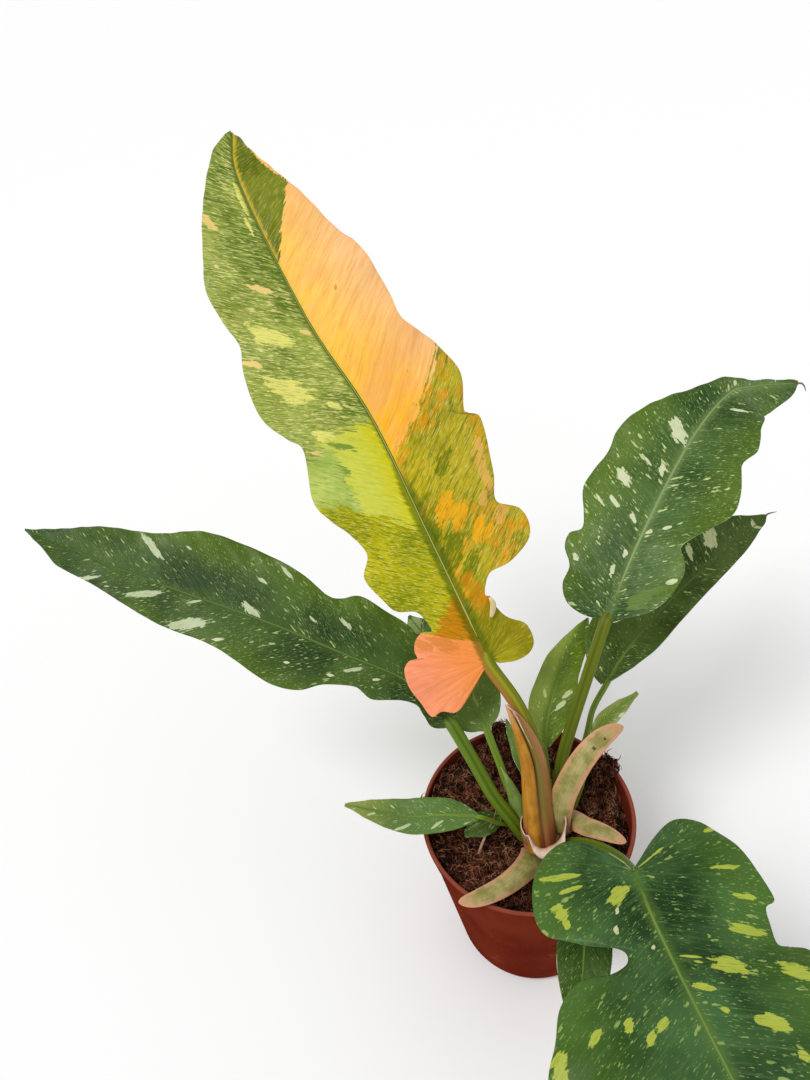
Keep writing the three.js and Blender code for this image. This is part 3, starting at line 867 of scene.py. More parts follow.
@cache
def leaf_relief():
    """The fine ridges of side veins and the leather of the blade between them."""
    tree, shader, given, result = group_nodes("Leaf relief", "Height", Veins="Vector", Place="Vector")
    x, y, _ = shader.axes(given["Veins"])
    fine = shader.drawn_noise(x, y, 60, 900, 2.0)
    leather = shader.noise(given["Place"], 900.0, 2.0, 0.6)
    broad = shader.noise(given["Place"], 70.0, 2.0, 0.5)
    height = shader.plus(shader.times(fine, 0.5), shader.times(leather, 0.18))
    shader.feed(result, shader.plus(height, shader.times(broad, 0.5)))
    return tree


def new_material(name):
    material = bpy.data.materials.new(name)
    material.use_nodes = True
    material.node_tree.nodes.clear()
    return material, Shader(material.node_tree)


def finish(shader, colour, roughness, height=None, depth=0.3, **constants):
    """The surface itself: a Principled BSDF with a bump of a depth in millimetres."""
    inputs = {"Base Color": colour, "Roughness": roughness}
    inputs.update({key.replace("_", " "): value for key, value in constants.items()})
    if height is not None:
        bump = shader.node("Bump", {"Strength": 1.0, "Distance": depth * MM, "Height": height})
        inputs["Normal"] = bump.outputs[0]
    surface = shader.node("BsdfPrincipled", inputs)
    output = shader.node("OutputMaterial")
    shader.tree.links.new(surface.outputs[0], output.inputs["Surface"])


def patches(shader, leaf, veins, ragged, table):
    """One mask for a table of patches: out, along, half length and half width in mm."""
    mask = None
    length_share, width_share = leaf["patch_shape"]
    for out, along, half_length, half_width in table:
        length, start = vein_places(np.array([float(out)]), np.array([float(along)]), leaf["vein_lean"])
        patch = shader.group(
            leaf_patch(),
            Veins=veins,
            Centre=(length[0] * MM, start[0] * MM, 0),
            Half_Size=(half_length * length_share * MM, half_width * width_share * MM, 1),
            Ragged=ragged,
        )
        mask = patch if mask is None else shader.math("MAXIMUM", mask, patch)
    return mask


def area(shader, blade, teeth, lines):
    """Where a place is past every line, each given by its direction and its start in mm."""
    mask = None
    for x, y, start in lines:
        direction = (x, y, 0)
        past = shader.group(past_line(), Blade=blade, Direction=direction, Start=start * MM, Teeth=teeth)
        mask = past if mask is None else shader.times(mask, past)
    return mask


def leaf_coordinates(shader):
    """The blade's two maps, and a swing that runs along the side veins."""
    blade = shader.map("blade")
    veins = shader.map("veins")
    x, y, _ = shader.axes(veins)
    swing = shader.minus(shader.drawn_noise(x, y, 60, 460, 4.0, 0.65), 0.5)
    return blade, veins, swing


def ragged_edge(shader, swing, place):
    """How much a patch shrinks or grows: fine teeth along the veins on broader bays."""
    bays = shader.swing(shader.noise(place, 260.0, 3.0, 0.6), 1.5)
    return shader.plus(shader.times(swing, 2.3), bays)


# Leaf finishes

HALF_WIDTH = 34
EDGE_TONE = (96, 122, 22)

# Streaks along the side veins: their length, width, cut, softness and seed
GREEN_STREAKS = (12, 1.1, 0.6, 0.1, 2.0)
GREEN_DASHES = (2.6, 0.55, 0.655, 0.03, 8.0)
PATCH_STREAKS = (6, 0.8, 0.62, 0.12, 5.0)


def streaks(shader, veins, length, width, cut, soft, seed):
    """Streaks along the side veins, their length and width in millimetres."""
    return shader.group(
        vein_streaks(), Veins=veins, Length=length * MM, Width=width * MM, Cut=cut, Soft=soft, Seed=seed
    )


def add_streaks(shader, veins, colour, *layers):
    """A colour under layers of streaks. Each layer is its streaks, its strength and its tone."""
    for measures, strength, tone in layers:
        mask = shader.times(streaks(shader, veins, *measures), strength)
        colour = shader.mix(mask, colour, srgb(*tone))
    return colour


def green_paint(shader, leaf, look):
    """A green leaf with paler margins, specks along its side veins and patches."""
    blade, veins, swing = leaf_coordinates(shader)
    out, along, _ = shader.axes(blade)
    place = shader.place()
    ragged = ragged_edge(shader, swing, place)
    cloud = shader.between(shader.noise(place, 26.0, 3.0, 0.55), 0.35, 0.65)
    colour = shader.mix(cloud, srgb(*look["deep"]), srgb(*look["light"]))
    colour = add_streaks(shader, veins, colour, (GREEN_STREAKS, 0.35, look["streak"]))
    line = shader.group(side_veins(), Veins=veins, Place=place)
    colour = shader.mix(shader.times(line, 0.22), colour, srgb(*look["rib"]))
    half = look.get("half", HALF_WIDTH) * MM
    near_edge = shader.between(shader.size(out), 0.3 * half, half, 0.0, 0.5)
    colour = shader.mix(near_edge, colour, srgb(*look.get("edge", EDGE_TONE)))
    if "left" in look:
        on_left = shader.between(out, -5 * MM, 2 * MM, 0.8, 0.0)
        colour = shader.mix(on_left, colour, srgb(*look["left"]))
    if "tip" in look:
        tone, start, end = look["tip"]
        colour = shader.mix(shader.between(along, start * MM, end * MM, 0.0, 0.8), colour, srgb(*tone))
    near_rib = shader.between(shader.size(out), 0.6 * MM, 4.8 * MM, 0.4, 0.0)
    colour = shader.mix(near_rib, colour, srgb(*look["rib"]))
    where = shader.between(shader.noise(place, 55.0, 2.0), 0.3, 0.6, 0.15, 0.75)
    dashes = shader.times(streaks(shader, veins, *GREEN_DASHES), where)
    colour = shader.mix(dashes, colour, srgb(*look["speck"]))
    for i, (length, width, size, strength) in enumerate(look["specks"]):
        specks = shader.group(
            leaf_specks(), Veins=veins, Length=length * MM, Width=width * MM, Size=size, Seed=i * 3.7
        )
        colour = shader.mix(shader.times(specks, strength), colour, srgb(*look["speck"]))
    for tone, table in look["patches"]:
        inside = shader.times(streaks(shader, veins, *PATCH_STREAKS), 0.45)
        patch_colour = shader.mix(inside, srgb(*tone), colour)
        colour = shader.mix(patches(shader, leaf, veins, ragged, table), colour, patch_colour)
    return colour, veins, place


# Patches: how far out and along the flat blade each lies, its half length and half width
RING_LOOK = {
    "left": [
        [-2.6, 288, 1.6, 10], [-5, 272, 1.2, 4], [-22, 212, 11, 5],
        [-29, 184, 11, 6], [-27, 150, 6, 4], [-14, 164, 4, 1.5],
    ],
    "fingers": [[-22, 141, 8, 1.8], [-30, 131, 8, 2.6], [-33, 120, 5, 1.6]],
    "peach": [
        [-24, 281, 4, 3], [-27, 290, 2, 3], [-38, 204, 6, 1.6],
        [-14, 236, 7, 1.6], [-34, 143, 8, 1.2], [-4, 205, 3, 1.2],
    ],
    "brown_patches": [[-19, 20, 9, 4], [-28, 23, 6, 2.5]],
    "smudges": [[22, 219, 1.4, 1.2], [27, 196, 0.4, 0.35], [9, 181, 0.35, 0.35], [30, 158, 0.4, 0.4]],
    "low_right": [
        ((98, 112, 0), [[7, 62, 12, 6.5], [12, 50, 10, 4], [5, 76, 5, 4], [24, 108, 8, 3]]),
        ((246, 172, 20), [[14, 85, 9, 5], [20, 78, 8, 4], [26, 67, 7, 4], [31, 64, 4, 2.4]]),
        ((226, 172, 86), [[42, 71, 7, 3.4], [42, 95, 4, 9], [46, 108, 3, 5], [36, 82, 4, 3]]),
        ((198, 130, 6), [[8, 43, 5, 4], [9, 35, 6, 5], [12, 27, 6, 5]]),
    ],
}

# Lines that bound its coloured areas: the direction of each, out and along, and its start
LIME_LINES = [(0, -1, -147), (1, 0, -31)]
MARGIN_LINES = [(-1, 0, 27), (0, -1, -143)]
OLIVE_LINES = [(-0.8, -1, -80)]
RUST_LINES = [(0.76, -1, -42)]
PEACH_LINES = [(-0.64, -1, -11.5)]
ORANGE_LINES = [(-0.76, 1, 121)]
EAR_LINES = [(0.3, -1, -24)]
TIP_LINES = [(-1.73, 1, 244.5), (-2, -1, -338)]


def ring_paint(shader, leaf, look):
    """The ring leaf's areas of green, lime, olive, peach and orange, each with its streaks."""
    blade, veins, swing = leaf_coordinates(shader)
    place = shader.place()
    out, along, _ = shader.axes(blade)
    _, start, _ = shader.axes(veins)
    ragged = ragged_edge(shader, swing, place)
    teeth = shader.times(swing, 30 * MM)
    fine_teeth = shader.times(swing, 14 * MM)
    out_share = shader.between(shader.size(out), 0.0, 45 * MM)
    right = shader.between(out, -0.2 * MM, 0.2 * MM)
    marks = partial(streaks, shader, veins)
    streaked = partial(add_streaks, shader, veins)
    patch = partial(patches, shader, leaf, veins, ragged)
    past = partial(area, shader, blade)

    # The green half with fine pale streaks.
    cloud = shader.between(shader.noise(place, 30.0, 3.0, 0.55), 0.35, 0.65)
    clump = shader.between(shader.noise(place, 38.0, 3.0, 0.6), 0.44, 0.6)
    left = shader.mix(cloud, srgb(84, 110, 22), srgb(152, 166, 68))
    left = shader.mix(shader.times(out_share, 0.4), left, srgb(162, 172, 84))
    left = streaked(
        left,
        ((14, 2.0, 0.53, 0.07, 1.0), 0.6, (178, 188, 90)),
        ((7, 0.7, 0.57, 0.04, 2.0), 0.6, (76, 102, 20)),
        ((4.5, 0.7, 0.62, 0.03, 3.0), 0.9, (220, 220, 140)),
    )
    pale = shader.times(marks(7, 1.1, 0.6, 0.03, 4.0), shader.between(clump, 0.0, 1.0, 0.1, 0.8))
    left = shader.mix(pale, left, srgb(226, 214, 140))
    light = shader.mix(shader.times(marks(6, 0.9, 0.56, 0.08, 31.0), 0.5), srgb(226, 222, 116), left)
    left = shader.mix(patch(look["left"]), left, light)
    left = shader.mix(patch(look["peach"]), left, srgb(232, 204, 122))

    # Lime by the midrib, and a paler lime margin below it.
    from_rib = shader.between(shader.size(out), 0.0, 20 * MM)
    lime = shader.mix(from_rib, srgb(208, 200, 12), srgb(204, 208, 78))
    lime = streaked(
        lime,
        ((12, 1.8, 0.56, 0.08, 7.0), 0.35, (168, 178, 40)),
        ((5, 0.7, 0.6, 0.04, 8.0), 0.45, (224, 220, 118)),
    )
    left = shader.mix(past(teeth, LIME_LINES), left, lime)
    left = shader.mix(patch(look["fingers"]), left, srgb(124, 150, 58))
    margin = shader.mix(cloud, srgb(148, 176, 74), srgb(190, 202, 98))
    margin = streaked(
        margin,
        ((9, 1.1, 0.56, 0.06, 26.0), 0.5, (124, 154, 60)),
        ((5, 0.6, 0.61, 0.04, 27.0), 0.55, (218, 220, 142)),
    )
    left = shader.mix(past(teeth, MARGIN_LINES), left, margin)

    # Olive and yellow-green towards the base.
    olive = shader.mix(cloud, srgb(132, 140, 0), srgb(180, 174, 4))
    olive = streaked(
        olive,
        ((6, 0.8, 0.56, 0.05, 9.0), 0.7, (200, 194, 36)),
        ((11, 1.6, 0.58, 0.05, 11.0), 0.7, (108, 122, 0)),
        ((7, 1.1, 0.64, 0.04, 12.0), 0.5, (214, 166, 40)),
        ((3.5, 0.5, 0.62, 0.03, 28.0), 0.75, (226, 220, 120)),
    )
    left = shader.mix(past(teeth, OLIVE_LINES), left, olive)
    rust = streaked(
        srgb(198, 126, 4),
        ((8, 1.0, 0.53, 0.05, 14.0), 0.7, (140, 122, 0)),
        ((5, 0.7, 0.62, 0.04, 18.0), 0.4, (222, 164, 50)),
    )
    left = shader.mix(past(teeth, RUST_LINES), left, rust)

    # The peach lobe beside the base.
    peach = shader.mix(out_share, srgb(244, 146, 60), srgb(248, 152, 112))
    peach = streaked(
        peach,
        ((14, 1.6, 0.55, 0.1, 13.0), 0.3, (226, 122, 62)),
        ((9, 1.0, 0.6, 0.06, 33.0), 0.28, (254, 190, 150)),
    )
    # Browner patches at the top of the lobe, by the base.
    brown_patches = shader.times(patch(look["brown_patches"]), 0.6)
    peach = shader.mix(brown_patches, peach, srgb(204, 126, 46))
    left = shader.mix(past(fine_teeth, PEACH_LINES), left, peach)

    # The orange sector of the other half, pinker towards the margin.
    orange = shader.mix(out_share, srgb(254, 204, 72), srgb(251, 196, 142))
    low = shader.between(start, 118 * MM, 210 * MM, 1.0, 0.0)
    golden = shader.times(low, shader.between(shader.size(out), 12 * MM, 55 * MM, 1.0, 0.1))
    orange = shader.mix(golden, orange, srgb(253, 180, 0))
    orange = streaked(
        orange,
        ((20, 2.4, 0.52, 0.12, 15.0), 0.4, (250, 206, 116)),
        ((16, 1.6, 0.55, 0.08, 25.0), 0.4, (240, 158, 66)),
    )
    blush = shader.between(shader.noise(place, 34.0, 3.0, 0.6), 0.42, 0.7)
    orange = shader.mix(shader.times(blush, 0.45), orange, srgb(244, 168, 112))
    orange = streaked(orange, ((5, 0.5, 0.68, 0.03, 16.0), 0.4, (222, 138, 62)))

    # Olive with orange and lime streaks below it.
    low_right = shader.mix(cloud, srgb(124, 130, 0), srgb(182, 170, 8))
    low_right = shader.mix(shader.times(out_share, 0.4), low_right, srgb(198, 184, 70))
    low_right = streaked(
        low_right,
        ((15, 2.6, 0.53, 0.07, 17.0), 0.6, (98, 112, 0)),
        ((18, 3.2, 0.55, 0.07, 18.0), 0.6, (196, 176, 30)),
    )
    warm = shader.plus(clump, shader.times(swing, 1.6), clamp=True)
    ember = shader.times(marks(12, 1.8, 0.5, 0.05, 19.0), shader.between(warm, 0.45, 0.9, 0.0, 0.8))
    low_right = shader.mix(ember, low_right, srgb(228, 150, 16))
    low_right = streaked(
        low_right,
        ((5, 0.7, 0.62, 0.04, 20.0), 0.7, (214, 142, 26)),
        ((6, 0.6, 0.6, 0.04, 21.0), 0.7, (222, 208, 104)),
        ((4, 0.5, 0.6, 0.04, 22.0), 0.5, (86, 100, 4)),
    )
    broken = shader.between(marks(7, 0.9, 0.55, 0.08, 35.0), 0.0, 1.0, 0.85, 0.3)
    for tone, table in look["low_right"]:
        mask = shader.times(patch(table), broken)
        low_right = shader.mix(mask, low_right, srgb(*tone))
    ear = shader.mix(cloud, srgb(128, 122, 0), srgb(172, 162, 14))
    ear = streaked(ear, ((6, 0.7, 0.6, 0.05, 37.0), 0.5, (204, 190, 70)))
    ear_area = shader.times(past(teeth, EAR_LINES), 0.85)
    low_right = shader.mix(ear_area, low_right, ear)
    right_half = shader.mix(past(teeth, ORANGE_LINES), low_right, orange)

    # The dark speckled patch near the tip.
    tip = shader.mix(cloud, srgb(88, 104, 12), srgb(120, 130, 30))
    tip = streaked(tip, ((6, 0.8, 0.58, 0.04, 23.0), 0.6, (178, 166, 70)))
    right_half = shader.mix(past(fine_teeth, TIP_LINES), right_half, tip)

    colour = shader.mix(right, left, right_half)
    colour = shader.mix(patch(look["smudges"]), colour, srgb(224, 152, 84))
    line = shader.group(side_veins(), Veins=veins, Place=place)
    colour = shader.tint(shader.times(line, 0.13), colour, srgb(216, 206, 140))
    beside_rib = shader.between(along, 100 * MM, 125 * MM, 1.0, 0.0)
    band = shader.plus(shader.size(out), shader.times(swing, 6 * MM))
    band = shader.minus(band, shader.times(beside_rib, 2.2 * MM))
    rib_tone = shader.mix(right, srgb(84, 106, 22), srgb(222, 186, 50))
    rib_tone = shader.mix(beside_rib, rib_tone, srgb(70, 94, 0))
    colour = shader.mix(shader.between(band, 0.4 * MM, 3 * MM, 0.7, 0.0), colour, rib_tone)
    return colour, veins, place


GREEN_SPECKS = [(4.2, 1.7, 0.34, 0.75), (7.0, 3.0, 0.3, 0.85), (12.0, 7.0, 0.22, 0.9)]

LEFT_LOOK = {
    "deep": (34, 60, 18),
    "light": (70, 97, 38),
    "streak": (98, 124, 56),
    "rib": (66, 94, 34),
    "speck": (176, 190, 120),
    "specks": GREEN_SPECKS,
    "patches": [
        ((190, 200, 160), [
            [19, 200, 12, 2.4], [-12, 226, 8.5, 1.5], [-9, 192, 11.7, 2.7], [-12, 213, 1.6, 0.6],
            [-3, 163, 4.7, 0.8],
            [-16, 160, 14, 3.9], [3, 130, 6.9, 2.7], [21, 130, 2.6, 1.5], [30, 119, 5.7, 1.2],
            [11, 96, 2.7, 1.2], [16, 77, 4.3, 1.8], [-6, 63, 7.4, 0.9], [25, 178, 2.2, 0.8],
        ]),
        ((212, 214, 176), [
            [-19, 141, 3.3, 1.2], [-7, 50, 2.6, 0.9], [-17, 99, 1.8, 0.8], [-14, 74, 1.8, 0.8],
        ]),
    ],
}

UPPER_RIGHT_LOOK = {
    "deep": (38, 70, 20),
    "light": (76, 105, 46),
    "streak": (108, 134, 62),
    "rib": (118, 142, 84),
    "speck": (190, 202, 136),
    "specks": [(4.6, 1.5, 0.36, 0.8), (8.5, 2.6, 0.34, 0.95), (14.0, 6.0, 0.24, 0.95)],
    "patches": [
        ((206, 212, 170), [
            [-9, 117, 9.8, 3.4], [-23, 78, 7.1, 2.1], [-6, 91, 2.8, 2.3], [-21, 62, 4.9, 0.9],
            [-8, 58, 3, 1.2],
            [-15, 92, 3.6, 0.8], [3, 54, 2.1, 1.2], [-4, 37, 1.6, 1.5], [-7, 26, 1.8, 1.8],
            [-29, 26, 3.1, 1.2],
            [-29, 60, 5.7, 0.6], [11, 151, 5.3, 0.9], [11, 59, 2.6, 0.8], [25, 32, 2.9, 1.1],
            [-4, 169, 2.6, 0.8],
        ]),
        ((94, 120, 44), [[13, 17, 8, 4], [20, 25, 5, 1.6]]),
    ],
}

LOWER_RIGHT_LOOK = {
    "deep": (54, 78, 24),
    "light": (92, 114, 50),
    "streak": (104, 126, 60),
    "rib": (88, 112, 50),
    "speck": (174, 188, 110),
    "specks": GREEN_SPECKS,
    "patches": [
        ((206, 210, 158), [
            [-12, 119, 6.7, 4.4], [-14, 101, 5.6, 1.6], [-17, 94, 4, 1], [0, 148, 4, 1.2],
        ]),
    ],
}

FRONT_LOOK = {
    "deep": (24, 54, 18),
    "light": (64, 100, 52),
    "half": 48,
    "edge": (78, 112, 22),
    "streak": (82, 114, 52),
    "rib": (90, 120, 52),
    "speck": (150, 172, 92),
    "specks": [(4.6, 1.8, 0.34, 0.6), (7.5, 3.0, 0.3, 0.75), (11.0, 6.0, 0.24, 0.8)],
    "patches": [
        ((166, 178, 66), [
            [31, -5, 8.2, 1.1], [28, 1.6, 5.8, 0.8], [10, 9, 5.9, 2.3], [36, 10, 3.7, 1.8],
            [35, 15, 1.4, 1.2],
            [-32, 38, 6.9, 2.7], [-39, 25, 5, 1.2], [-19, 50, 6.7, 2.9], [-40, 59, 5.2, 2.7],
            [-7, 42, 3.7, 0.4],
            [-9, 45, 2.2, 0.4], [-6, 54, 3.3, 1.1], [-22, 73, 5.3, 2.7], [-9, 64, 1.6, 0.9],
            [26, 59, 2.4, 1.5],
            [14, 62, 3.5, 1.1], [20, 65, 2.8, 1.1], [39, 59, 3.9, 1.2], [55, 64, 4.4, 2.4],
            [56, 61, 2.9, 0.8],
            [-26, 85, 2.2, 1.5], [-9, -4, 7.9, 0.9], [-37, 9, 5.4, 0.8], [-39, -12, 2.9, 0.6],
        ]),
        ((196, 198, 150), [[13, 16, 1.3, 0.9], [16, 23, 1.2, 1.1], [5, 34, 1.2, 0.8]]),
    ],
}

ROUND_LOOK = {
    "deep": (54, 84, 22),
    "light": (106, 134, 62),
    "half": 20,
    "streak": (98, 126, 56),
    "rib": (90, 118, 50),
    "speck": (174, 190, 116),
    "specks": GREEN_SPECKS,
    "patches": [((146, 166, 104), [[-2, 78, 9, 5], [1.5, 17, 1.2, 3]])],
}

PALE_LOOK = {
    "deep": (60, 88, 4),
    "light": (98, 122, 20),
    "left": (142, 162, 70),
    "half": 20,
    "streak": (136, 156, 66),
    "rib": (70, 98, 14),
    "speck": (196, 204, 126),
    "specks": GREEN_SPECKS,
    "patches": [((196, 204, 150), [[5, 25, 4, 2.2], [8, 34, 4, 1.6], [-5, 30, 2, 1.2]])],
}

SMALL_RIGHT_LOOK = {
    **PALE_LOOK,
    "deep": (112, 128, 52),
    "light": (142, 156, 86),
    "half": 6,
    "edge": (192, 194, 156),
}

SMALL_LOOK = {
    "deep": (50, 82, 26),
    "light": (86, 116, 54),
    "half": 18,
    "tip": ((156, 164, 76), 40, 76),
    "streak": (110, 136, 66),
    "rib": (90, 116, 48),
    "speck": (186, 198, 136),
    "specks": GREEN_SPECKS,
    "patches": [
        ((176, 190, 140), [
            [-5, 24, 3.5, 1.2], [-6, 42, 4, 1.2], [4, 50, 2.5, 0.9], [-2, 60, 2.5, 1.2],
        ]),
    ],
}


def leaf_material(leaf, paint, look, name, roughness, underside=False):
    """A blade's finish. Its underside is the same pattern, paler and less glossy."""
    material, shader = new_material(name)
    colour, veins, place = paint(shader, leaf, look)
    if underside:
        colour = shader.mix(0.38, colour, srgb(124, 142, 76))
    height = shader.group(leaf_relief(), Veins=veins, Place=place)
    spread = shader.between(shader.noise(place, 120.0, 2.0), 0.3, 0.7, roughness - 0.05, roughness + 0.08)
    finish(shader, colour, spread, height, depth=0.2, Specular_IOR_Level=leaf.get("sheen", 0.17))
    return material


def margin_material(name, tone):
    """The thin pale edge of a blade."""
    material, shader = new_material(name)
    shade = shader.between(shader.noise(shader.place(), 60.0), 0.35, 0.65)
    colour = shader.mix(shade, srgb(*tone), srgb(*(min(255, c + 34) for c in tone)))
    finish(shader, colour, 0.5)
    return material


def stalk_material(name, base, top, rib, groove, line, left=None):
    """A stalk from its base to its blade, then the midrib, with a tone along the groove of
    the stalk and one along the line of the midrib. A left tone is a strip on the stalk."""
    material, shader = new_material(name)
    across, along, _ = shader.axes(shader.map("blade"))
    lines = shader.drawn_noise(across, along, 9, 30, 3.0)
    colour = shader.mix(shader.between(along, -90 * MM, -10 * MM), srgb(*base), srgb(*top))
    colour = shader.mix(shader.between(along, 0.0, 50 * MM), colour, srgb(*rib))
    narrower = shader.between(along, 0.0, 20 * MM, 1.0, 1.9)
    from_middle = shader.times(shader.size(across), narrower)
    in_groove = shader.between(from_middle, 0.12, 0.4, 0.75, 0.0)
    groove_tone = shader.mix(shader.between(along, 0.0, 25 * MM), srgb(*groove), srgb(*line))
    colour = shader.mix(in_groove, colour, groove_tone)
    if left:
        on_left = shader.between(across, -0.55, -0.3, 0.9, 0.0)
        on_stalk = shader.between(along, -4 * MM, 6 * MM, 1.0, 0.0)
        colour = shader.mix(shader.times(on_left, on_stalk), colour, srgb(*left))
    colour = shader.tint(shader.between(lines, 0.3, 0.7, 0.3, 0.0), colour, srgb(160, 166, 120))
    finish(shader, colour, 0.42, lines, depth=0.12, Specular_IOR_Level=0.2)
    return material


# Pot


def wall_radius(height):
    return WALL_BOTTOM_RADIUS + (WALL_TOP_RADIUS - WALL_BOTTOM_RADIUS) * height / COLLAR_BOTTOM


def spin_profile(bm, profile, steps, closed=True):
    """Turns a profile of radius and height about Z."""
    corners = [bm.verts.new((radius * MM, 0, height * MM)) for radius, height in profile]
    edges = [bm.edges.new(pair) for pair in zip(corners, corners[1:])]
    if closed:
        edges.append(bm.edges.new((corners[-1], corners[0])))
    axis = {"axis": (0, 0, 1), "cent": (0, 0, 0)}
    bmesh.ops.spin(bm, geom=corners + edges, angle=2 * math.pi, steps=steps, use_merge=True, **axis)


def pot_wall(bm):
    lip_bottom = POT_HEIGHT - LIP_HEIGHT
    lip = []
    for i in range(LIP_STEPS + 1):
        angle = math.pi * i / LIP_STEPS
        lip_in = LIP_ROUND * (1 - math.cos(angle))
        lip_down = LIP_ROUND * (1 - math.sin(angle))
        lip.append((RIM_RADIUS - lip_in, POT_HEIGHT - lip_down))
    profile = [
        (FOOT_RADIUS - 2.5, 0),
        (FOOT_RADIUS - 0.8, 0),
        (FOOT_RADIUS - 0.1, 0.3),
        (FOOT_RADIUS, 0.9),
        (FOOT_RADIUS + 0.3, FOOT_HEIGHT),
        (wall_radius(FOOT_HEIGHT + 0.8) - 0.2, FOOT_HEIGHT + 0.6),
        (wall_radius(FOOT_HEIGHT + 1.4), FOOT_HEIGHT + 1.4),
        (wall_radius(COLLAR_BOTTOM * 0.35), COLLAR_BOTTOM * 0.35),
        (wall_radius(COLLAR_BOTTOM * 0.7), COLLAR_BOTTOM * 0.7),
        (wall_radius(COLLAR_BOTTOM), COLLAR_BOTTOM),
        (wall_radius(COLLAR_BOTTOM) + COLLAR_STEP, COLLAR_BOTTOM + 1),
        (RIM_RADIUS - 0.7, lip_bottom),
        (RIM_RADIUS - 0.1, lip_bottom + 0.5),
        *lip,
        (RIM_RADIUS - LIP_WIDTH, POT_HEIGHT - 2),
        (wall_radius(COLLAR_BOTTOM) - WALL + 0.6, COLLAR_BOTTOM),
        (wall_radius(FLOOR) - WALL, FLOOR + 1),
        (wall_radius(FLOOR) - WALL - 1.5, FLOOR),
        (FOOT_RADIUS - FOOT_RING_WIDTH, FLOOR),
        (FOOT_RADIUS - FOOT_RING_WIDTH, 0.6),
    ]
    spin_profile(bm, profile, POT_SIDES)


def pot_floor(bm):
    """The floor plate with its drain holes."""
    rings = []
    for i in range(DRAIN_HOLES):
        angle = 2 * math.pi * (i + 0.5) / DRAIN_HOLES
        middle = (DRAIN_CIRCLE * math.cos(angle) * MM, DRAIN_CIRCLE * math.sin(angle) * MM, 0)
        rings.append((DRAIN_SIDES, DRAIN_RADIUS, Matrix.Translation(middle)))
    rings.append((POT_SIDES, FOOT_RADIUS - FOOT_RING_WIDTH + 1, Matrix.Identity(4)))
    edges = []
    for segments, radius, matrix in rings:
        ring = bmesh.ops.create_circle(bm, segments=segments, radius=radius * MM, matrix=matrix)
        edges += {edge for vertex in ring["verts"] for edge in vertex.link_edges}
    plate = bmesh.ops.triangle_fill(bm, edges=edges, use_beauty=True)
    faces = [item for item in plate["geom"] if isinstance(item, bmesh.types.BMFace)]
    raised = bmesh.ops.extrude_face_region(bm, geom=faces)
    top = [item for item in raised["geom"] if isinstance(item, bmesh.types.BMVert)]
    bmesh.ops.translate(bm, verts=top, vec=(0, 0, (FLOOR - 0.1) * MM))


def pot_material(look):
    """Brown-red moulded plastic with faint streaks and a few scuffs; its soft sheen is a painted highlight, a
    lighter band along the top of the rim.
    """
    material, shader = new_material("pot plastic")
    place = shader.place()
    x, y, z = shader.axes(place)
    mottled = shader.noise(place, 22.0, 4.0, 0.6)
    colour = shader.mix(shader.between(mottled, 0.3, 0.7), look.pot_deep, look.pot_colour)
    around = shader.vector(shader.math("ARCTAN2", y, x), shader.times(z, 3.0))
    drawn = shader.noise(around, 24.0, 3.0, 0.6)
    colour = shader.mix(shader.between(drawn, 0.5, 0.75, 0.0, 0.25), colour, srgb(124, 52, 36))
    # Painted highlight: the top of the rolled lip is lighter, as where light catches it.
    rim = shader.between(z, (POT_HEIGHT - 1.6) * MM, POT_HEIGHT * MM, 0.0, 0.6)
    colour = shader.mix(rim, colour, srgb(158, 86, 70))
    scratches = shader.node("TexVoronoi", {"Vector": place, "Scale": 130.0}, feature="DISTANCE_TO_EDGE")
    where = shader.between(shader.noise(place, 38.0, 2.0), 0.62, 0.7)
    scuff = shader.times(shader.between(scratches.outputs[0], 0.0, 0.03, 1.0, 0.0), where)
    colour = shader.mix(shader.times(scuff, 0.5), colour, srgb(176, 124, 108))
    dust = shader.noise(place, 160.0, 4.0, 0.7)
    colour = shader.mix(shader.between(dust, 0.6, 0.75, 0.0, 0.3), colour, srgb(74, 34, 26))
    grain = shader.noise(place, 900.0, 2.0, 0.5)
    height = shader.plus(shader.times(grain, 0.15), shader.times(mottled, 0.5))
    roughness = shader.plus(shader.between(mottled, 0.3, 0.7, 0.42, 0.52), shader.times(scuff, 0.2))
    finish(shader, colour, roughness, height, depth=0.1, Specular_IOR_Level=0.0)
    return material


# Soil

FIBRE_STEPS = 7
SOIL_EDGE = 56
SOIL_CELLS = 130
SKIRT_DROP = 14
SKIRT_SHARE = 0.93

# Heaps on the soil: the middle of each, its reach and its height
SOIL_HEAPS = [
    (-8, 50, 14, 7),
    (48, 24, 13, 6),
    (-42, 20, 20, 6),
    (-6, 52, 6, 6),
    (51, 19, 7, 6),
    (45, 29, 6, 4),
]

# Clumps that stand above the rim: the middle of each and its half size
CLUMPS = [
    ((-5, 56.5, 114), (5, 4, 7)),
    ((53, 20, 113), (6, 7.5, 5.5)),
    ((-56.5, 9, 110.5), (3, 11, 2.6)),
]


def soil_height(x, y):
    """The heaps and hollows of the soil's top, as in the frame, with its clumps."""
    radius = np.hypot(x, y)
    lumps = 1.1 * np.sin(0.19 * x + 1.3) * np.cos(0.23 * y) + 0.7 * np.sin(0.41 * x - 0.33 * y)
    heaps = 0
    for middle_x, middle_y, reach, height in SOIL_HEAPS:
        heaps += height * np.exp(-((x - middle_x) ** 2 + (y - middle_y) ** 2) / reach**2)
    edge = np.clip((radius - 48) / 9, 0, 1)
    banked_side = 0.5 - 0.5 * np.cos(np.arctan2(y, x) + 0.6)
    bank = 7.5 * np.clip((radius - 26) / 30, 0, 1) ** 1.5 * banked_side
    return POT_HEIGHT - SOIL_DROP + lumps + heaps + bank - 1.5 * edge**2 * (3 - 2 * edge)


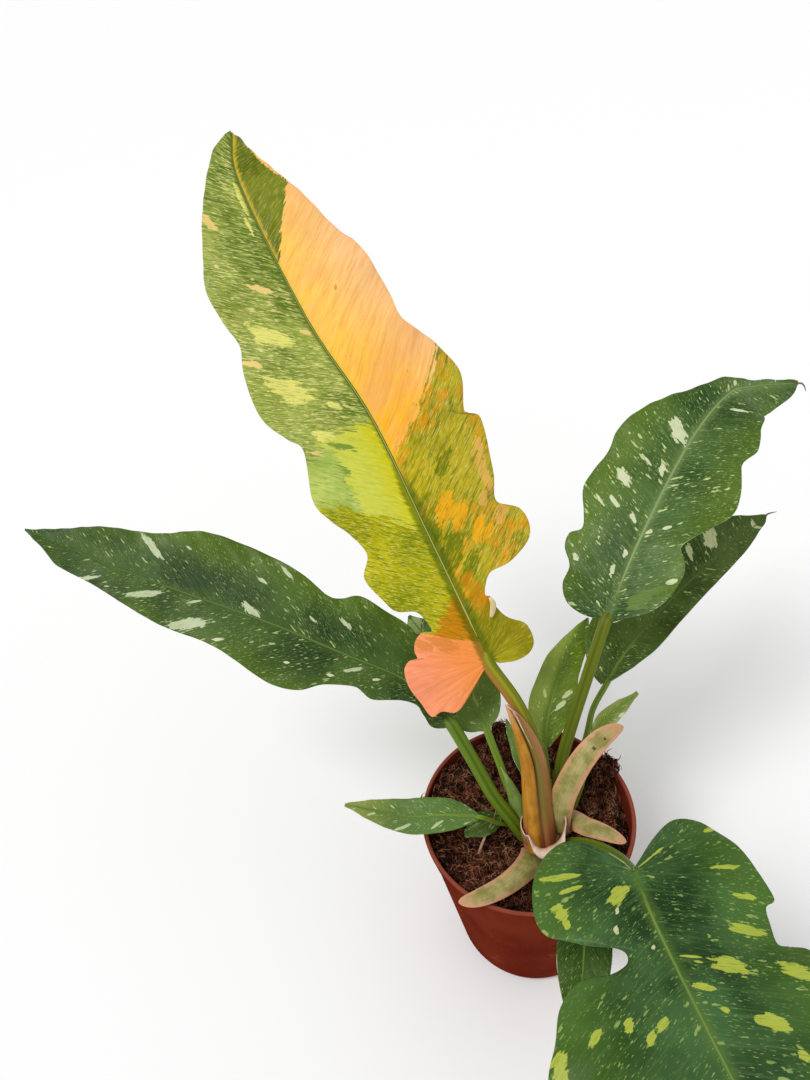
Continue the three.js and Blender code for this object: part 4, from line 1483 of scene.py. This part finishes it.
def crumbly(x, y):
    """Height added by crumbs too small to be pieces of their own."""
    place = Vector((x, y, 0))
    coarse = noise.turbulence(place * 0.22, 4, False)
    fine = noise.noise(place * 0.9)
    return 3.2 * (coarse - 0.55) + 0.7 * fine


def soil_top(x, y):
    return float(soil_height(x, y)) + crumbly(x, y)


def soil_material():
    """Near-black peat and coir with reddish-brown crumbs and pale grit."""
    material, shader = new_material("coir and peat")
    place = shader.place()
    crumbs = shader.noise(place, 260.0, 5.0, 0.7)
    damp = shader.noise(place, 45.0, 2.0)
    colour = shader.mix(shader.between(crumbs, 0.35, 0.62), srgb(22, 12, 8), srgb(86, 50, 34))
    colour = shader.mix(shader.between(damp, 0.45, 0.65, 0.0, 0.6), colour, srgb(34, 22, 17))
    grit = shader.node("TexVoronoi", {"Vector": place, "Scale": 520.0})
    pale = shader.between(shader.axes(grit.outputs["Color"])[0], 0.93, 0.97)
    colour = shader.mix(shader.times(pale, 0.6), colour, srgb(150, 116, 90))
    finish(shader, colour, 0.95, crumbs, depth=1.4, Specular_IOR_Level=0.1)
    return material


def crumb_material(name, deep, light):
    material, shader = new_material(name)
    place = shader.place()
    tone = shader.noise(place, 150.0, 3.0, 0.6)
    colour = shader.mix(shader.between(tone, 0.36, 0.62), srgb(*deep), srgb(*light))
    finish(shader, colour, 0.92, shader.noise(place, 700.0, 4.0, 0.7), depth=0.6, Specular_IOR_Level=0.1)
    return material


def clear_of_crown(x, y):
    return math.hypot(x - CROWN_AT[0], y - CROWN_AT[1]) > CROWN_RADIUS + 2


def scatter(draw, count, edge):
    """Random places on the soil, clear of the crown."""
    places = []
    while len(places) < count:
        x, y = draw.uniform(-edge, edge), draw.uniform(-edge, edge)
        if math.hypot(x, y) < edge and clear_of_crown(x, y):
            places.append(Vector((x, y, soil_top(x, y))))
    return places


def make_soil():
    outer = wall_radius(COLLAR_BOTTOM) - WALL / 2
    bm = bmesh.new()
    bmesh.ops.create_grid(bm, x_segments=SOIL_CELLS, y_segments=SOIL_CELLS, size=1)
    border = [edge for edge in bm.edges if edge.is_boundary]
    skirt = bmesh.ops.extrude_edge_only(bm, edges=border)["geom"]
    low = {item for item in skirt if isinstance(item, bmesh.types.BMVert)}
    for vertex in bm.verts:
        a, b = vertex.co.x, vertex.co.y
        x = outer * a * math.sqrt(1 - b * b / 2)
        y = outer * b * math.sqrt(1 - a * a / 2)
        if vertex in low:
            bottom = POT_HEIGHT - SOIL_DROP - SKIRT_DROP
            vertex.co = Vector((SKIRT_SHARE * x, SKIRT_SHARE * y, bottom)) * MM
        else:
            vertex.co = Vector((x, y, soil_top(x, y))) * MM
    rim = [edge for edge in bm.edges if edge.is_boundary]
    bmesh.ops.contextual_create(bm, geom=rim)
    bmesh.ops.recalc_face_normals(bm, faces=bm.faces)
    return new_object("soil_surface", bm, [soil_material()], ["soil"])


def copy_pieces(bm, count):
    """Copies the one piece in a mesh until there are count of them, each after the last."""
    sizes = [len(bm.verts), len(bm.edges), len(bm.faces)]
    made = 1
    while made < count:
        more = min(made, count - made)
        first = []
        for parts, size in zip((bm.verts, bm.edges, bm.faces), sizes):
            parts.ensure_lookup_table()
            first += parts[: more * size]
        bmesh.ops.duplicate(bm, geom=first)
        made += more
    return sizes[0]


def clump_places(draw, count):
    """Random places in the clumps."""
    places = []
    for i in range(count):
        middle, half = CLUMPS[i % len(CLUMPS)]
        way = unit(draw.normal(size=3)) * draw.random() ** 0.4
        places.append(Vector(np.array(middle) + np.array(half) * way))
    return places


def make_crumbs(draw, name, places, smallest, largest, material):
    bm = bmesh.new()
    bmesh.ops.create_icosphere(bm, subdivisions=1, radius=1)
    corners = copy_pieces(bm, len(places))
    turns = []
    for place in places:
        size = smallest + (largest - smallest) * draw.random() ** 3
        turn = Matrix.Rotation(draw.uniform(0, 6.28), 3, Vector((draw.random(), draw.random(), 0.5)))
        stretch = Matrix.Diagonal((draw.uniform(0.7, 1.5), 1, draw.uniform(0.5, 1)))
        turns.append((place + Vector((0, 0, 0.25 * size)), turn @ stretch * size))
    for i, vertex in enumerate(bm.verts):
        place, turn = turns[i // corners]
        vertex.co = (place + turn @ vertex.co * draw.uniform(0.65, 1.1)) * MM
    return new_object(name, bm, [material])


def make_strands(name, paths, radii, material):
    """Thin three-sided threads, one through each path of evenly many points."""
    bm = bmesh.new()
    bmesh.ops.create_cone(bm, cap_ends=True, segments=3, radius1=1, radius2=1, depth=1)
    last = len(paths[0]) - 1
    cut_into_rings(bm, last)
    corners = copy_pieces(bm, len(paths))
    for number, vertex in enumerate(bm.verts):
        points = paths[number // corners]
        i = round((vertex.co.z + 0.5) * last)
        forward = (points[min(i + 1, last)] - points[max(i - 1, 0)]).normalized()
        side = forward.orthogonal().normalized()
        offset = side * vertex.co.x + forward.cross(side) * vertex.co.y
        slimmer = 0.35 + 0.65 * math.sin(math.pi * (0.15 + 0.7 * i / last))
        vertex.co = (points[i] + offset * radii[number // corners] * slimmer) * MM
    bmesh.ops.recalc_face_normals(bm, faces=bm.faces)
    return new_object(name, bm, [material])


def make_thread(name, places, thick, material):
    """One round thread on a smooth curve through the places, thinner towards its far end."""
    path = smooth_path(places, 10)
    radius = thick * (1 - 0.7 * np.linspace(0, 1, len(path)) ** 2)
    make_tube(name, path, np.array([0.3, -0.5, 1.0]), radius, radius, material, sides=8)


def fibre_path(draw, start, length, rise):
    """A curl of coir that lies on the soil."""
    x, y, _ = start
    heading = draw.uniform(0, 2 * math.pi)
    bend = draw.uniform(-0.8, 0.8)
    step = length * draw.uniform(0.5, 1.3) / FIBRE_STEPS
    lift = rise * draw.random() ** 2
    points = []
    for i in range(FIBRE_STEPS + 1):
        radius = math.hypot(x, y)
        if radius > SOIL_EDGE:
            x, y = x * SOIL_EDGE / radius, y * SOIL_EDGE / radius
        z = soil_top(x, y) + 0.4 + lift * math.sin(math.pi * i / FIBRE_STEPS)
        points.append(Vector((x, y, z)))
        x += step * math.cos(heading)
        y += step * math.sin(heading)
        heading += bend
    return points


def tuft_path(draw, start, length):
    """A curl of coir that sticks out of a clump."""
    heading = Vector(unit(draw.normal(size=3)))
    turn = Matrix.Rotation(draw.uniform(0.15, 0.7), 3, Vector(draw.normal(size=3)))
    step = length * draw.uniform(0.5, 1.2) / FIBRE_STEPS
    points = [start]
    for _ in range(FIBRE_STEPS):
        points.append(points[-1] + heading * step)
        heading = turn @ heading
    return points


def make_fibres(draw, name, count, length, radius, rise, material):
    paths = [fibre_path(draw, start, length, rise) for start in scatter(draw, count, SOIL_EDGE - 1)]
    radii = [radius * draw.uniform(0.6, 1.3) for _ in paths]
    return make_strands(name, paths, radii, material)


# Crown, sheaths and bud scales


CROWN_SIDES = 48
CROWN_PROFILE = [
    (0, CROWN_BOTTOM),
    (7, CROWN_BOTTOM),
    (CROWN_RADIUS, 86),
    (CROWN_RADIUS, 98),
    (9.2, 102),
    (6, 105),
    (0, CROWN_TOP),
]
CHANNEL_GRID = (36, 90)
CUP_GRID = (130, 30)
CUP_START = -1.25 * math.pi
CUP_TURN = 1.45 * math.pi
CURL_FROM = 0.68


def make_crown(material):
    bm = bmesh.new()
    spin_profile(bm, CROWN_PROFILE, CROWN_SIDES, closed=False)
    bmesh.ops.remove_doubles(bm, verts=bm.verts, dist=1e-6)
    long_edges = [edge for edge in bm.edges if edge.calc_length() > 2.5 * MM]
    bmesh.ops.subdivide_edges(bm, edges=long_edges, cuts=2)
    for vertex in bm.verts:
        bump = 1 + 0.05 * noise.noise(vertex.co * 260)
        vertex.co.x *= bump
        vertex.co.y *= bump
    bmesh.ops.translate(bm, verts=bm.verts, vec=(CROWN_AT[0] * MM, CROWN_AT[1] * MM, 0))
    bmesh.ops.recalc_face_normals(bm, faces=bm.faces)
    return new_object("crown_stem", bm, [material], ["crown"])


def level(x, t):
    """The folds of a scale that has none, and the end of one that isn't torn."""
    return 0 * x


def make_channel(scale, materials):
    """A sheath or bud scale: a thin channel that wraps round its own midline."""
    midline = Midrib({"midrib": scale["midline"], "facing": scale["facing"]})
    bm, x, y = grid(*CHANNEL_GRID)
    t = (y + 1) / 2
    half = np.maximum(scale["half_width"](t), 0.5)
    wrap = scale["wrap"](t)
    radius = half / np.sin(np.minimum(wrap, math.pi / 2))
    angle = x * wrap
    shaped = radius * (1 + scale.get("folds", level)(x, t))
    along = t * midline.length + scale.get("torn", level)(x, t)
    places = midline.place(shaped * np.sin(angle), along, shaped * np.cos(angle) - radius)
    paint_uv(bm, "blade", x * half * MM, along * MM)
    paint_uv(bm, "share", x, t)
    move_vertices(bm, places)
    piece = new_object(scale["name"], bm, materials, [scale["node"]])
    thicken(piece, SCALE_THICKNESS, materials=False)
    return piece


SPEAR = {
    "name": "spear",
    "node": "sheath_spear",
    "midline": [[4, -23, 105], [5, -15, 119], [6, -4, 135], [6, 5, 149], [2, 14, 165], [-4, 23, 178]],
    "facing": [[0, -0.85, 0.5], [0, -0.85, 0.5]],
    "half_width": lambda t: (8.8 - 2.8 * t) * (1 - 0.8 * t**5),
    "wrap": lambda t: 1.8 - 0.7 * t,
    "folds": lambda x, t: -0.22 * np.exp(-(((x - 0.12 + 0.3 * t) / 0.13) ** 2)) + 0.05 * np.cos(7 * x),
    "torn": lambda x, t: -3 * t**8 * (1 + np.sin(9 * x)),
}

SPEAR_ROLL = {
    "name": "spear_roll",
    "node": "sheath_spear",
    "midline": [[-1, -24, 107], [0, -17, 120], [1, -7, 135], [1.5, 2, 149], [-1, 11.5, 164], [-5, 22, 179]],
    "facing": [[-0.3, -0.8, 0.5], [-0.3, -0.8, 0.5]],
    "half_width": lambda t: (3.8 - 1.6 * t) * (1 - 0.75 * t**6),
    "wrap": lambda t: 2.5 + 0 * t,
    "folds": lambda x, t: 0.06 * np.cos(5 * x + 4 * t),
}

GREEN_SHEATH = {
    "name": "green_sheath",
    "node": "sheath_green",
    "midline": [[0, -10, 102], [-4, -6, 112], [-6, 0, 122], [-8, 7, 129], [-11, 15, 135]],
    "facing": [[-0.1, -0.8, 0.55], [-0.2, -0.8, 0.55]],
    "half_width": lambda t: 5 * np.sin(np.pi * (0.35 + 0.65 * t)),
    "wrap": lambda t: 1 + 0 * t,
}

BUD_SCALES = [
    {
        "name": "bud_scale_front",
        "node": "sheath_front",
        "midline": [
            [2, -19, 101], [-4, -28, 108], [-11, -36, 113], [-22, -44, 117], [-35, -49, 119],
            [-46, -49, 117],
        ],
        "facing": [[0.2, -0.2, 1], [0.2, -0.3, 1]],
        "half_width": lambda t: (8.6 - 4.2 * np.sqrt(t)) * np.sqrt(1 - t**9),
        "wrap": lambda t: 1.1 - 0.3 * t,
    },
    {
        "name": "bud_scale_back",
        "node": "sheath_back",
        "midline": [
            [14, -12, 105], [16, -9, 120], [21, -4, 132], [31, 3, 145], [42, 9, 153], [51, 13, 155],
            [58, 15, 155],
        ],
        "facing": [[-0.4, -0.7, 0.6], [-0.2, -0.5, 0.85]],
        "half_width": lambda t: 7 * (1 - 0.3 * t**3) * np.sqrt(1 - t**11),
        "wrap": lambda t: 0.8 - 0.2 * t,
    },
    {
        "name": "bud_scale_right",
        "node": "sheath_right",
        "midline": [[15, -8, 102], [23, -8, 110], [30, -17, 116], [39, -25, 119], [47, -31, 118]],
        "facing": [[-0.1, -0.3, 1], [0, -0.3, 1]],
        "half_width": lambda t: 6 * (1 - 0.4 * t**2) * np.sqrt(1 - t**9),
        "wrap": lambda t: 0.9 - 0.3 * t,
    },
]


def scale_material(name, body, light, margin, tip, tip_from=0.8, spotted=False):
    """A soft bud scale: olive along its middle, pink at its margins and its tip."""
    material, shader = new_material(name)
    across, t, _ = shader.axes(shader.map("share"))
    x, y, _ = shader.axes(shader.map("blade"))
    lines = shader.drawn_noise(x, y, 1500, 70, 3.0, 0.6)
    cloud = shader.noise(shader.place(), 120.0, 3.0, 0.6)
    colour = shader.mix(shader.between(cloud, 0.35, 0.65), srgb(*body), srgb(*light))
    colour = shader.tint(shader.between(lines, 0.35, 0.7, 0.35, 0.0), colour, srgb(176, 170, 130))
    wavy = shader.plus(shader.size(across), shader.swing(cloud, 0.8))
    colour = shader.mix(shader.between(wavy, 0.4, 1.0), colour, srgb(*margin))
    colour = shader.mix(shader.between(t, tip_from, 1.0, 0.0, 0.8), colour, srgb(*tip))
    if spotted:
        dots = shader.node("TexVoronoi", {"Vector": shader.place(), "Scale": 150.0})
        chance = shader.between(shader.axes(dots.outputs["Color"])[0], 0.9, 0.93)
        ragged = shader.swing(lines, 0.7)
        from_dot = shader.plus(dots.outputs["Distance"], ragged)
        spot = shader.times(shader.between(from_dot, 0.1, 0.16, 1.0, 0.0), chance)
        colour = shader.mix(spot, colour, srgb(40, 30, 14))
    finish(shader, colour, 0.55, lines, depth=0.25, Specular_IOR_Level=0.3)
    return material


def spear_material():
    """The rolled new leaf: orange on its left, olive in its fold with a dark line of painted shade along the
    crease, brown-pink on its right.
    """
    material, shader = new_material("spear")
    across, t, _ = shader.axes(shader.map("share"))
    x, y, _ = shader.axes(shader.map("blade"))
    lines = shader.drawn_noise(x, y, 1300, 45, 3.0, 0.6)
    wavy = shader.plus(across, shader.swing(lines, 0.25))
    colour = shader.mix(shader.between(wavy, -0.45, -0.22), srgb(196, 132, 34), srgb(112, 84, 12))
    colour = shader.mix(shader.between(wavy, -0.1, 0.12), colour, srgb(126, 108, 24))
    colour = shader.mix(shader.between(wavy, 0.2, 0.5), colour, srgb(160, 108, 44))
    colour = shader.mix(shader.between(wavy, 0.6, 0.95, 0.0, 0.8), colour, srgb(188, 126, 86))
    colour = shader.mix(shader.between(t, 0.02, 0.36, 0.85, 0.0), colour, srgb(172, 100, 66))
    # Painted shade: a dark line along the crease where the blade folds in.
    drift = shader.plus(shader.times(t, 0.3), -0.12)
    fold = shader.between(shader.size(shader.plus(across, drift)), 0.0, 0.08, 0.5, 0.0)
    colour = shader.mix(fold, colour, srgb(66, 50, 8))
    colour = shader.mix(shader.between(t, 0.9, 1.0, 0.0, 0.85), colour, srgb(226, 186, 164))
    colour = shader.tint(shader.between(lines, 0.35, 0.7, 0.2, 0.0), colour, srgb(170, 150, 110))
    finish(shader, colour, 0.4, lines, depth=0.15)
    return material


def make_cup(material):
    """The collar of old bud scales round the front of the crown. Its torn edge curls out."""
    bm, x, y = grid(*CUP_GRID)
    turn = CUP_START + (x + 1) / 2 * CUP_TURN
    t = (y + 1) / 2
    teeth = np.array([noise.noise(Vector((3 * angle, 0.4, 7.1))) for angle in turn])
    fine_teeth = np.array([noise.noise(Vector((9 * angle, 1.4, 2.1))) for angle in turn])
    ragged = teeth + 0.5 * fine_teeth
    dip = np.exp(-np.abs((turn + 0.5 * math.pi) / 0.8) ** 3)
    point = np.exp(-(((turn + 0.78 * math.pi) / 0.16) ** 2))
    rise = 14.5 + 3.5 * np.maximum(0, np.cos(turn + 0.2)) - 4 * dip + 4 * point + 1.1 * ragged
    upright = np.minimum(t, CURL_FROM)
    curl = np.maximum(0, (t - CURL_FROM) / (1 - CURL_FROM)) * (0.5 + 2.7 * dip)
    lip = 0.8 + 1.7 * dip
    radius = CROWN_RADIUS + 1.2 + 1.6 * np.sin(np.pi * upright) + lip * (1 - np.cos(curl))
    height = CUP_BOTTOM + rise * upright / CURL_FROM + lip * np.sin(curl)
    place_x = CROWN_AT[0] + radius * np.cos(turn)
    place_y = CROWN_AT[1] + radius * np.sin(turn)
    paint_uv(bm, "blade", turn * 10 * MM, t * 14 * MM)
    paint_uv(bm, "share", 0 * t, t)
    move_vertices(bm, np.stack([place_x, place_y, height], 1))
    cup = new_object("crown_cup_scales", bm, [material], ["crown_cup"])
    thicken(cup, CUP_THICKNESS, materials=False)
    return cup


# Camera, floor and light

CAMERA_AT = (-45.4, -251, 511.9)
CAMERA_PITCH = 37.77
CAMERA_ROLL = -8.59
CAMERA_LENS = 26.0


def make_camera():
    data = bpy.data.cameras.new("Camera")
    data.lens = CAMERA_LENS
    data.sensor_width = 36
    data.clip_start = 0.01
    camera = bpy.data.objects.new("Camera", data)
    down = Matrix.Rotation(math.radians(90 - CAMERA_PITCH), 4, "X")
    roll = Matrix.Rotation(math.radians(CAMERA_ROLL), 4, "Z")
    camera.matrix_world = Matrix.Translation(Vector(CAMERA_AT) * MM) @ down @ roll
    bpy.context.scene.collection.objects.link(camera)
    bpy.context.scene.camera = camera


def make_sun(name, from_place, strength, softness):
    data = bpy.data.lights.new(name, "SUN")
    data.energy = strength
    data.angle = math.radians(softness)
    light = bpy.data.objects.new(name, data)
    light.rotation_euler = (-Vector(from_place)).to_track_quat("-Z", "Y").to_euler()
    bpy.context.scene.collection.objects.link(light)


FLOOR_REACH = 150


def make_floor(look):
    bm = bmesh.new()
    bmesh.ops.create_grid(bm, x_segments=1, y_segments=1, size=FLOOR_REACH)
    mesh = bpy.data.meshes.new("floor")
    bm.to_mesh(mesh)
    bm.free()
    material, shader = new_material("floor")
    finish(shader, look.floor_colour, 0.9)
    mesh.materials.append(material)
    floor = bpy.data.objects.new("floor", mesh)
    bpy.context.scene.collection.objects.link(floor)


# Settings


def colour_setting(name, description, default):
    return bpy.props.FloatVectorProperty(
        name=name, description=description, subtype="COLOR", size=4, default=default
    )


class PotSettings(bpy.types.PropertyGroup):
    pot_colour: colour_setting("Plastic", "Lighter tone of the pot", srgb(116, 46, 29))
    pot_deep: colour_setting("Deep plastic", "Darker tone of the pot", srgb(94, 32, 20))


class SoilSettings(bpy.types.PropertyGroup):
    crumbs: bpy.props.IntProperty(name="Crumbs", description="Crumbs on the soil", default=2600, min=0)
    fibres: bpy.props.IntProperty(name="Fibres", description="Fibres on the soil", default=2400, min=0)
    seed: bpy.props.IntProperty(name="Seed", description="Seed of all scattered pieces", default=7)


class StageSettings(bpy.types.PropertyGroup):
    floor_colour: colour_setting("Floor", "Colour of the floor", (0.95, 0.95, 0.95, 1))
    sky: bpy.props.FloatProperty(name="Sky", description="Strength of the even light", default=0.68, min=0)
    key: bpy.props.FloatProperty(name="Key", description="Strength of the key light", default=1.4, min=0)


# Operators


class PHILODENDRON_OT_pot(bpy.types.Operator):
    """Makes the nursery pot"""

    bl_idname = "philodendron.pot"
    bl_label = "Pot"

    def execute(self, context):
        bm = bmesh.new()
        pot_wall(bm)
        pot_floor(bm)
        bmesh.ops.remove_doubles(bm, verts=bm.verts, dist=1e-6)
        bmesh.ops.recalc_face_normals(bm, faces=bm.faces)
        plastic = pot_material(context.scene.philodendron_pot)
        pot = new_object("nursery_pot", bm, [plastic], ["pot"])
        edges = pot.modifiers.new("Soft edges", "BEVEL")
        edges.width = 0.25 * MM
        edges.segments = 2
        edges.limit_method = "ANGLE"
        edges.angle_limit = math.radians(40)
        pot.modifiers.new("Even shading", "WEIGHTED_NORMAL")
        return {"FINISHED"}


class PHILODENDRON_OT_soil(bpy.types.Operator):
    """Makes the soil with its crumbs and fibres"""

    bl_idname = "philodendron.soil"
    bl_label = "Soil"

    def execute(self, context):
        settings = context.scene.philodendron_soil
        draw = np.random.default_rng(settings.seed)
        make_soil()
        dark = crumb_material("dark crumbs", (20, 11, 7), (80, 45, 31))
        red = crumb_material("red crumbs", (64, 30, 18), (130, 76, 54))
        edge = SOIL_EDGE + 0.5
        make_crumbs(draw, "soil_crumbs_dark", scatter(draw, settings.crumbs, edge), 0.5, 2.6, dark)
        make_crumbs(draw, "soil_crumbs_red", scatter(draw, settings.crumbs // 3, edge), 0.4, 1.7, red)
        make_crumbs(draw, "clump_crumbs", clump_places(draw, settings.crumbs // 5), 0.7, 2.2, dark)
        rust = crumb_material("rust fibres", (96, 50, 32), (182, 118, 84))
        straw = crumb_material("straw fibres", (140, 100, 74), (206, 172, 142))
        make_fibres(draw, "coir_fibres", settings.fibres, 8, 0.28, 3.2, rust)
        make_fibres(draw, "pale_fibres", settings.fibres // 6, 10, 0.18, 3.6, straw)
        tufts = [tuft_path(draw, start, 7) for start in clump_places(draw, settings.fibres // 6)]
        make_strands("clump_fibres", tufts, [draw.uniform(0.14, 0.3) for _ in tufts], rust)
        make_thread("dry_stick", [[-31, -17, 104], [-26, -9, 106], [-20, -1, 108], [-17, 4, 110]], 0.8, straw)
        return {"FINISHED"}


class PHILODENDRON_OT_crown(bpy.types.Operator):
    """Makes the crown, the spear and the bud scales"""

    bl_idname = "philodendron.crown"
    bl_label = "Crown"

    def execute(self, context):
        tan_tones = ((150, 118, 78), (178, 146, 106), (196, 146, 120), (196, 150, 124))
        tan = scale_material("crown stem", *tan_tones)
        make_crown(tan)
        make_channel(SPEAR, [spear_material()])
        amber = scale_material("spear roll", (176, 118, 20), (204, 144, 44), (168, 112, 36), (214, 158, 110))
        make_channel(SPEAR_ROLL, [amber])
        thread = crumb_material("dry thread", (196, 150, 130), (236, 206, 190))
        torn = [[-5, 22, 179], [-1, 19, 175], [2, 14, 167], [6, 8, 157]]
        make_thread("spear_thread", torn, 0.4, thread)
        green_tones = ((104, 130, 52), (138, 160, 82), (120, 148, 70), (150, 170, 100))
        green = scale_material("green sheath", *green_tones)
        make_channel(GREEN_SHEATH, [green])
        olive_tones = ((144, 138, 70), (184, 172, 112), (214, 156, 120), (206, 148, 114))
        olive = scale_material("bud scale", *olive_tones, spotted=True)
        for scale in BUD_SCALES:
            make_channel(scale, [olive])
        pink_tones = ((166, 112, 74), (192, 142, 106), (200, 150, 120), (240, 214, 198))
        pink = scale_material("cup scales", *pink_tones, tip_from=0.62)
        make_cup(pink)
        return {"FINISHED"}


def make_leaf(leaf, name, look, edge, stalk, gloss=0.4, paint=green_paint):
    """A leaf's blade and its stalk. The gloss is the roughness of its top."""
    top = leaf_material(leaf, paint, look, name + " top", gloss)
    below = leaf_material(leaf, paint, look, name + " underside", gloss + 0.2, underside=True)
    margin = margin_material(name + " margin", edge)
    make_blade(leaf, name, [top, below, margin])
    make_stalk(leaf, name + "_stalk", stalk_material(name + " stalk", *stalk))


def make_torn_curl():
    """A pale flap that curls up from a tear in the ring leaf's edge."""
    out, along, above = np.array([[11, 21, 2.0], [14, 26, 3.0], [15, 31, 2.4]], float).T
    curl = {
        "name": "torn_curl",
        "node": "leaf_ring",
        "midline": Midrib(RING_LEAF).place(out, along, above).tolist(),
        "facing": [[-0.6, -0.8, 0.3], [-0.6, -0.8, 0.3]],
        "half_width": lambda t: 1.7 * np.sqrt(np.sin(np.pi * (0.08 + 0.84 * t))),
        "wrap": lambda t: 2.1 + 0 * t,
    }
    cream = scale_material("torn curl", (218, 200, 140), (230, 214, 160), (236, 206, 176), (240, 220, 180))
    make_channel(curl, [cream])


def make_dry_tip(leaf, name, offsets, material):
    """A dry thread that leaves the tip of a blade, given out, along and above from the tip."""
    midrib = Midrib(leaf)
    out, along, above = np.array(offsets, float).T
    make_thread(name, midrib.place(out, midrib.length + along, above), 0.6, material)


class PHILODENDRON_OT_ring_leaf(bpy.types.Operator):
    """Makes the tall orange, lime and green leaf"""

    bl_idname = "philodendron.ring_leaf"
    bl_label = "Ring leaf"

    def execute(self, context):
        stalk = ((112, 116, 8), (122, 128, 10), (82, 106, 8), (164, 156, 40), (218, 208, 122), (176, 118, 50))
        make_leaf(RING_LEAF, "ring_leaf", RING_LOOK, (136, 128, 52), stalk, 0.42, ring_paint)
        make_torn_curl()
        return {"FINISHED"}


class PHILODENDRON_OT_side_leaves(bpy.types.Operator):
    """Makes the left leaf and the two right leaves"""

    bl_idname = "philodendron.side_leaves"
    bl_label = "Side leaves"

    def execute(self, context):
        edge = (112, 124, 70)
        green = ((104, 128, 22), (100, 126, 30), (70, 98, 36), (66, 94, 12), (122, 146, 82))
        make_leaf(LEFT_LEAF, "left_leaf", LEFT_LOOK, edge, green)
        olive = ((94, 104, 2), (104, 114, 8), (128, 152, 90), (72, 88, 2), (150, 170, 118))
        light_edge = (178, 184, 140)
        make_leaf(UPPER_RIGHT_LEAF, "upper_right_leaf", UPPER_RIGHT_LOOK, light_edge, olive)
        pale = ((110, 136, 34), (118, 142, 50), (92, 116, 50), (92, 118, 30), (118, 140, 80))
        make_leaf(LOWER_RIGHT_LEAF, "lower_right_leaf", LOWER_RIGHT_LOOK, edge, pale)
        brown = crumb_material("dry tip", (92, 66, 40), (140, 108, 70))
        upper_tip = [(0, -1, 0), (0.5, 2, 0.3), (2, 4, -0.5), (5, 5, -2)]
        make_dry_tip(UPPER_RIGHT_LEAF, "upper_right_tip", upper_tip, brown)
        lower_tip = [(0, -1, 0), (-0.5, 2, 0), (0.5, 5, 0), (2, 9, -1)]
        make_dry_tip(LOWER_RIGHT_LEAF, "lower_right_tip", lower_tip, brown)
        return {"FINISHED"}


class PHILODENDRON_OT_front_leaf(bpy.types.Operator):
    """Makes the large dark leaf that leans over the front"""

    bl_idname = "philodendron.front_leaf"
    bl_label = "Front leaf"

    def execute(self, context):
        stalk = ((98, 124, 22), (96, 122, 32), (92, 122, 50), (82, 106, 20), (138, 158, 88))
        make_leaf(FRONT_LEAF, "front_leaf", FRONT_LOOK, (130, 146, 92), stalk, 0.32)
        return {"FINISHED"}


class PHILODENDRON_OT_small_leaves(bpy.types.Operator):
    """Makes the small leaves round the crown"""

    bl_idname = "philodendron.small_leaves"
    bl_label = "Small leaves"

    def execute(self, context):
        edge = (122, 134, 76)
        green = ((116, 144, 34), (120, 148, 44), (96, 124, 48), (96, 124, 24), (130, 152, 80))
        make_leaf(ROUND_LEAF, "round_leaf", ROUND_LOOK, edge, green)
        make_leaf(PALE_LEAF, "pale_leaf", PALE_LOOK, (160, 174, 112), green, 0.42)
        looks = {
            "leaf_small_left": ("small_left_leaf", SMALL_LOOK, "green_leaf"),
            "leaf_tiny_left": ("tiny_left_leaf", ROUND_LOOK, "dark_leaf"),
            "leaf_small_right": ("small_right_leaf", SMALL_RIGHT_LOOK, "green_leaf"),
            "leaf_under_front": ("under_front_leaf", LEFT_LOOK, "dark_leaf"),
            "leaf_sliver": ("sliver_leaf", ROUND_LOOK, "dark_leaf"),
        }
        for leaf in small_leaves():
            name, look, slot = looks[leaf["node"]]
            leaf_edge = (190, 196, 150) if slot == "dark_leaf" else edge
            make_leaf(leaf, name, look, leaf_edge, green)
        return {"FINISHED"}


class PHILODENDRON_OT_stage(bpy.types.Operator):
    """Makes the floor, the light and the camera"""

    bl_idname = "philodendron.stage"
    bl_label = "Stage"

    def execute(self, context):
        look = context.scene.philodendron_stage
        make_floor(look)
        world = bpy.data.worlds.new("soft light")
        world.use_nodes = True
        world.node_tree.nodes["Background"].inputs[0].default_value = (1, 1, 1, 1)
        world.node_tree.nodes["Background"].inputs[1].default_value = look.sky
        context.scene.world = world
        make_sun("key", (-0.9, -0.5, 1.7), look.key, 24)
        context.scene.view_settings.view_transform = "Standard"
        make_camera()
        return {"FINISHED"}


class PHILODENDRON_PT_panel(bpy.types.Panel):
    bl_label = "Philodendron"
    bl_idname = "PHILODENDRON_PT_panel"
    bl_space_type = "VIEW_3D"
    bl_region_type = "UI"
    bl_category = "Philodendron"

    def draw(self, context):
        for operator in OPERATORS:
            self.layout.operator(operator.bl_idname)
        for name, settings in SETTINGS.items():
            for key in settings.__annotations__:
                self.layout.prop(getattr(context.scene, name), key)


SETTINGS = {
    "philodendron_pot": PotSettings,
    "philodendron_soil": SoilSettings,
    "philodendron_stage": StageSettings,
}
OPERATORS = [
    PHILODENDRON_OT_pot,
    PHILODENDRON_OT_soil,
    PHILODENDRON_OT_crown,
    PHILODENDRON_OT_ring_leaf,
    PHILODENDRON_OT_side_leaves,
    PHILODENDRON_OT_front_leaf,
    PHILODENDRON_OT_small_leaves,
    PHILODENDRON_OT_stage,
]
CLASSES = [*SETTINGS.values(), *OPERATORS, PHILODENDRON_PT_panel]


def register():
    for cls in CLASSES:
        bpy.utils.register_class(cls)
    for name, settings in SETTINGS.items():
        setattr(bpy.types.Scene, name, bpy.props.PointerProperty(type=settings))


def unregister():
    for name in SETTINGS:
        delattr(bpy.types.Scene, name)
    for cls in reversed(CLASSES):
        bpy.utils.unregister_class(cls)


def main():
    register()
    for operator in OPERATORS:
        group, name = operator.bl_idname.split(".")
        getattr(getattr(bpy.ops, group), name)()


if __name__ == "__main__":
    main()
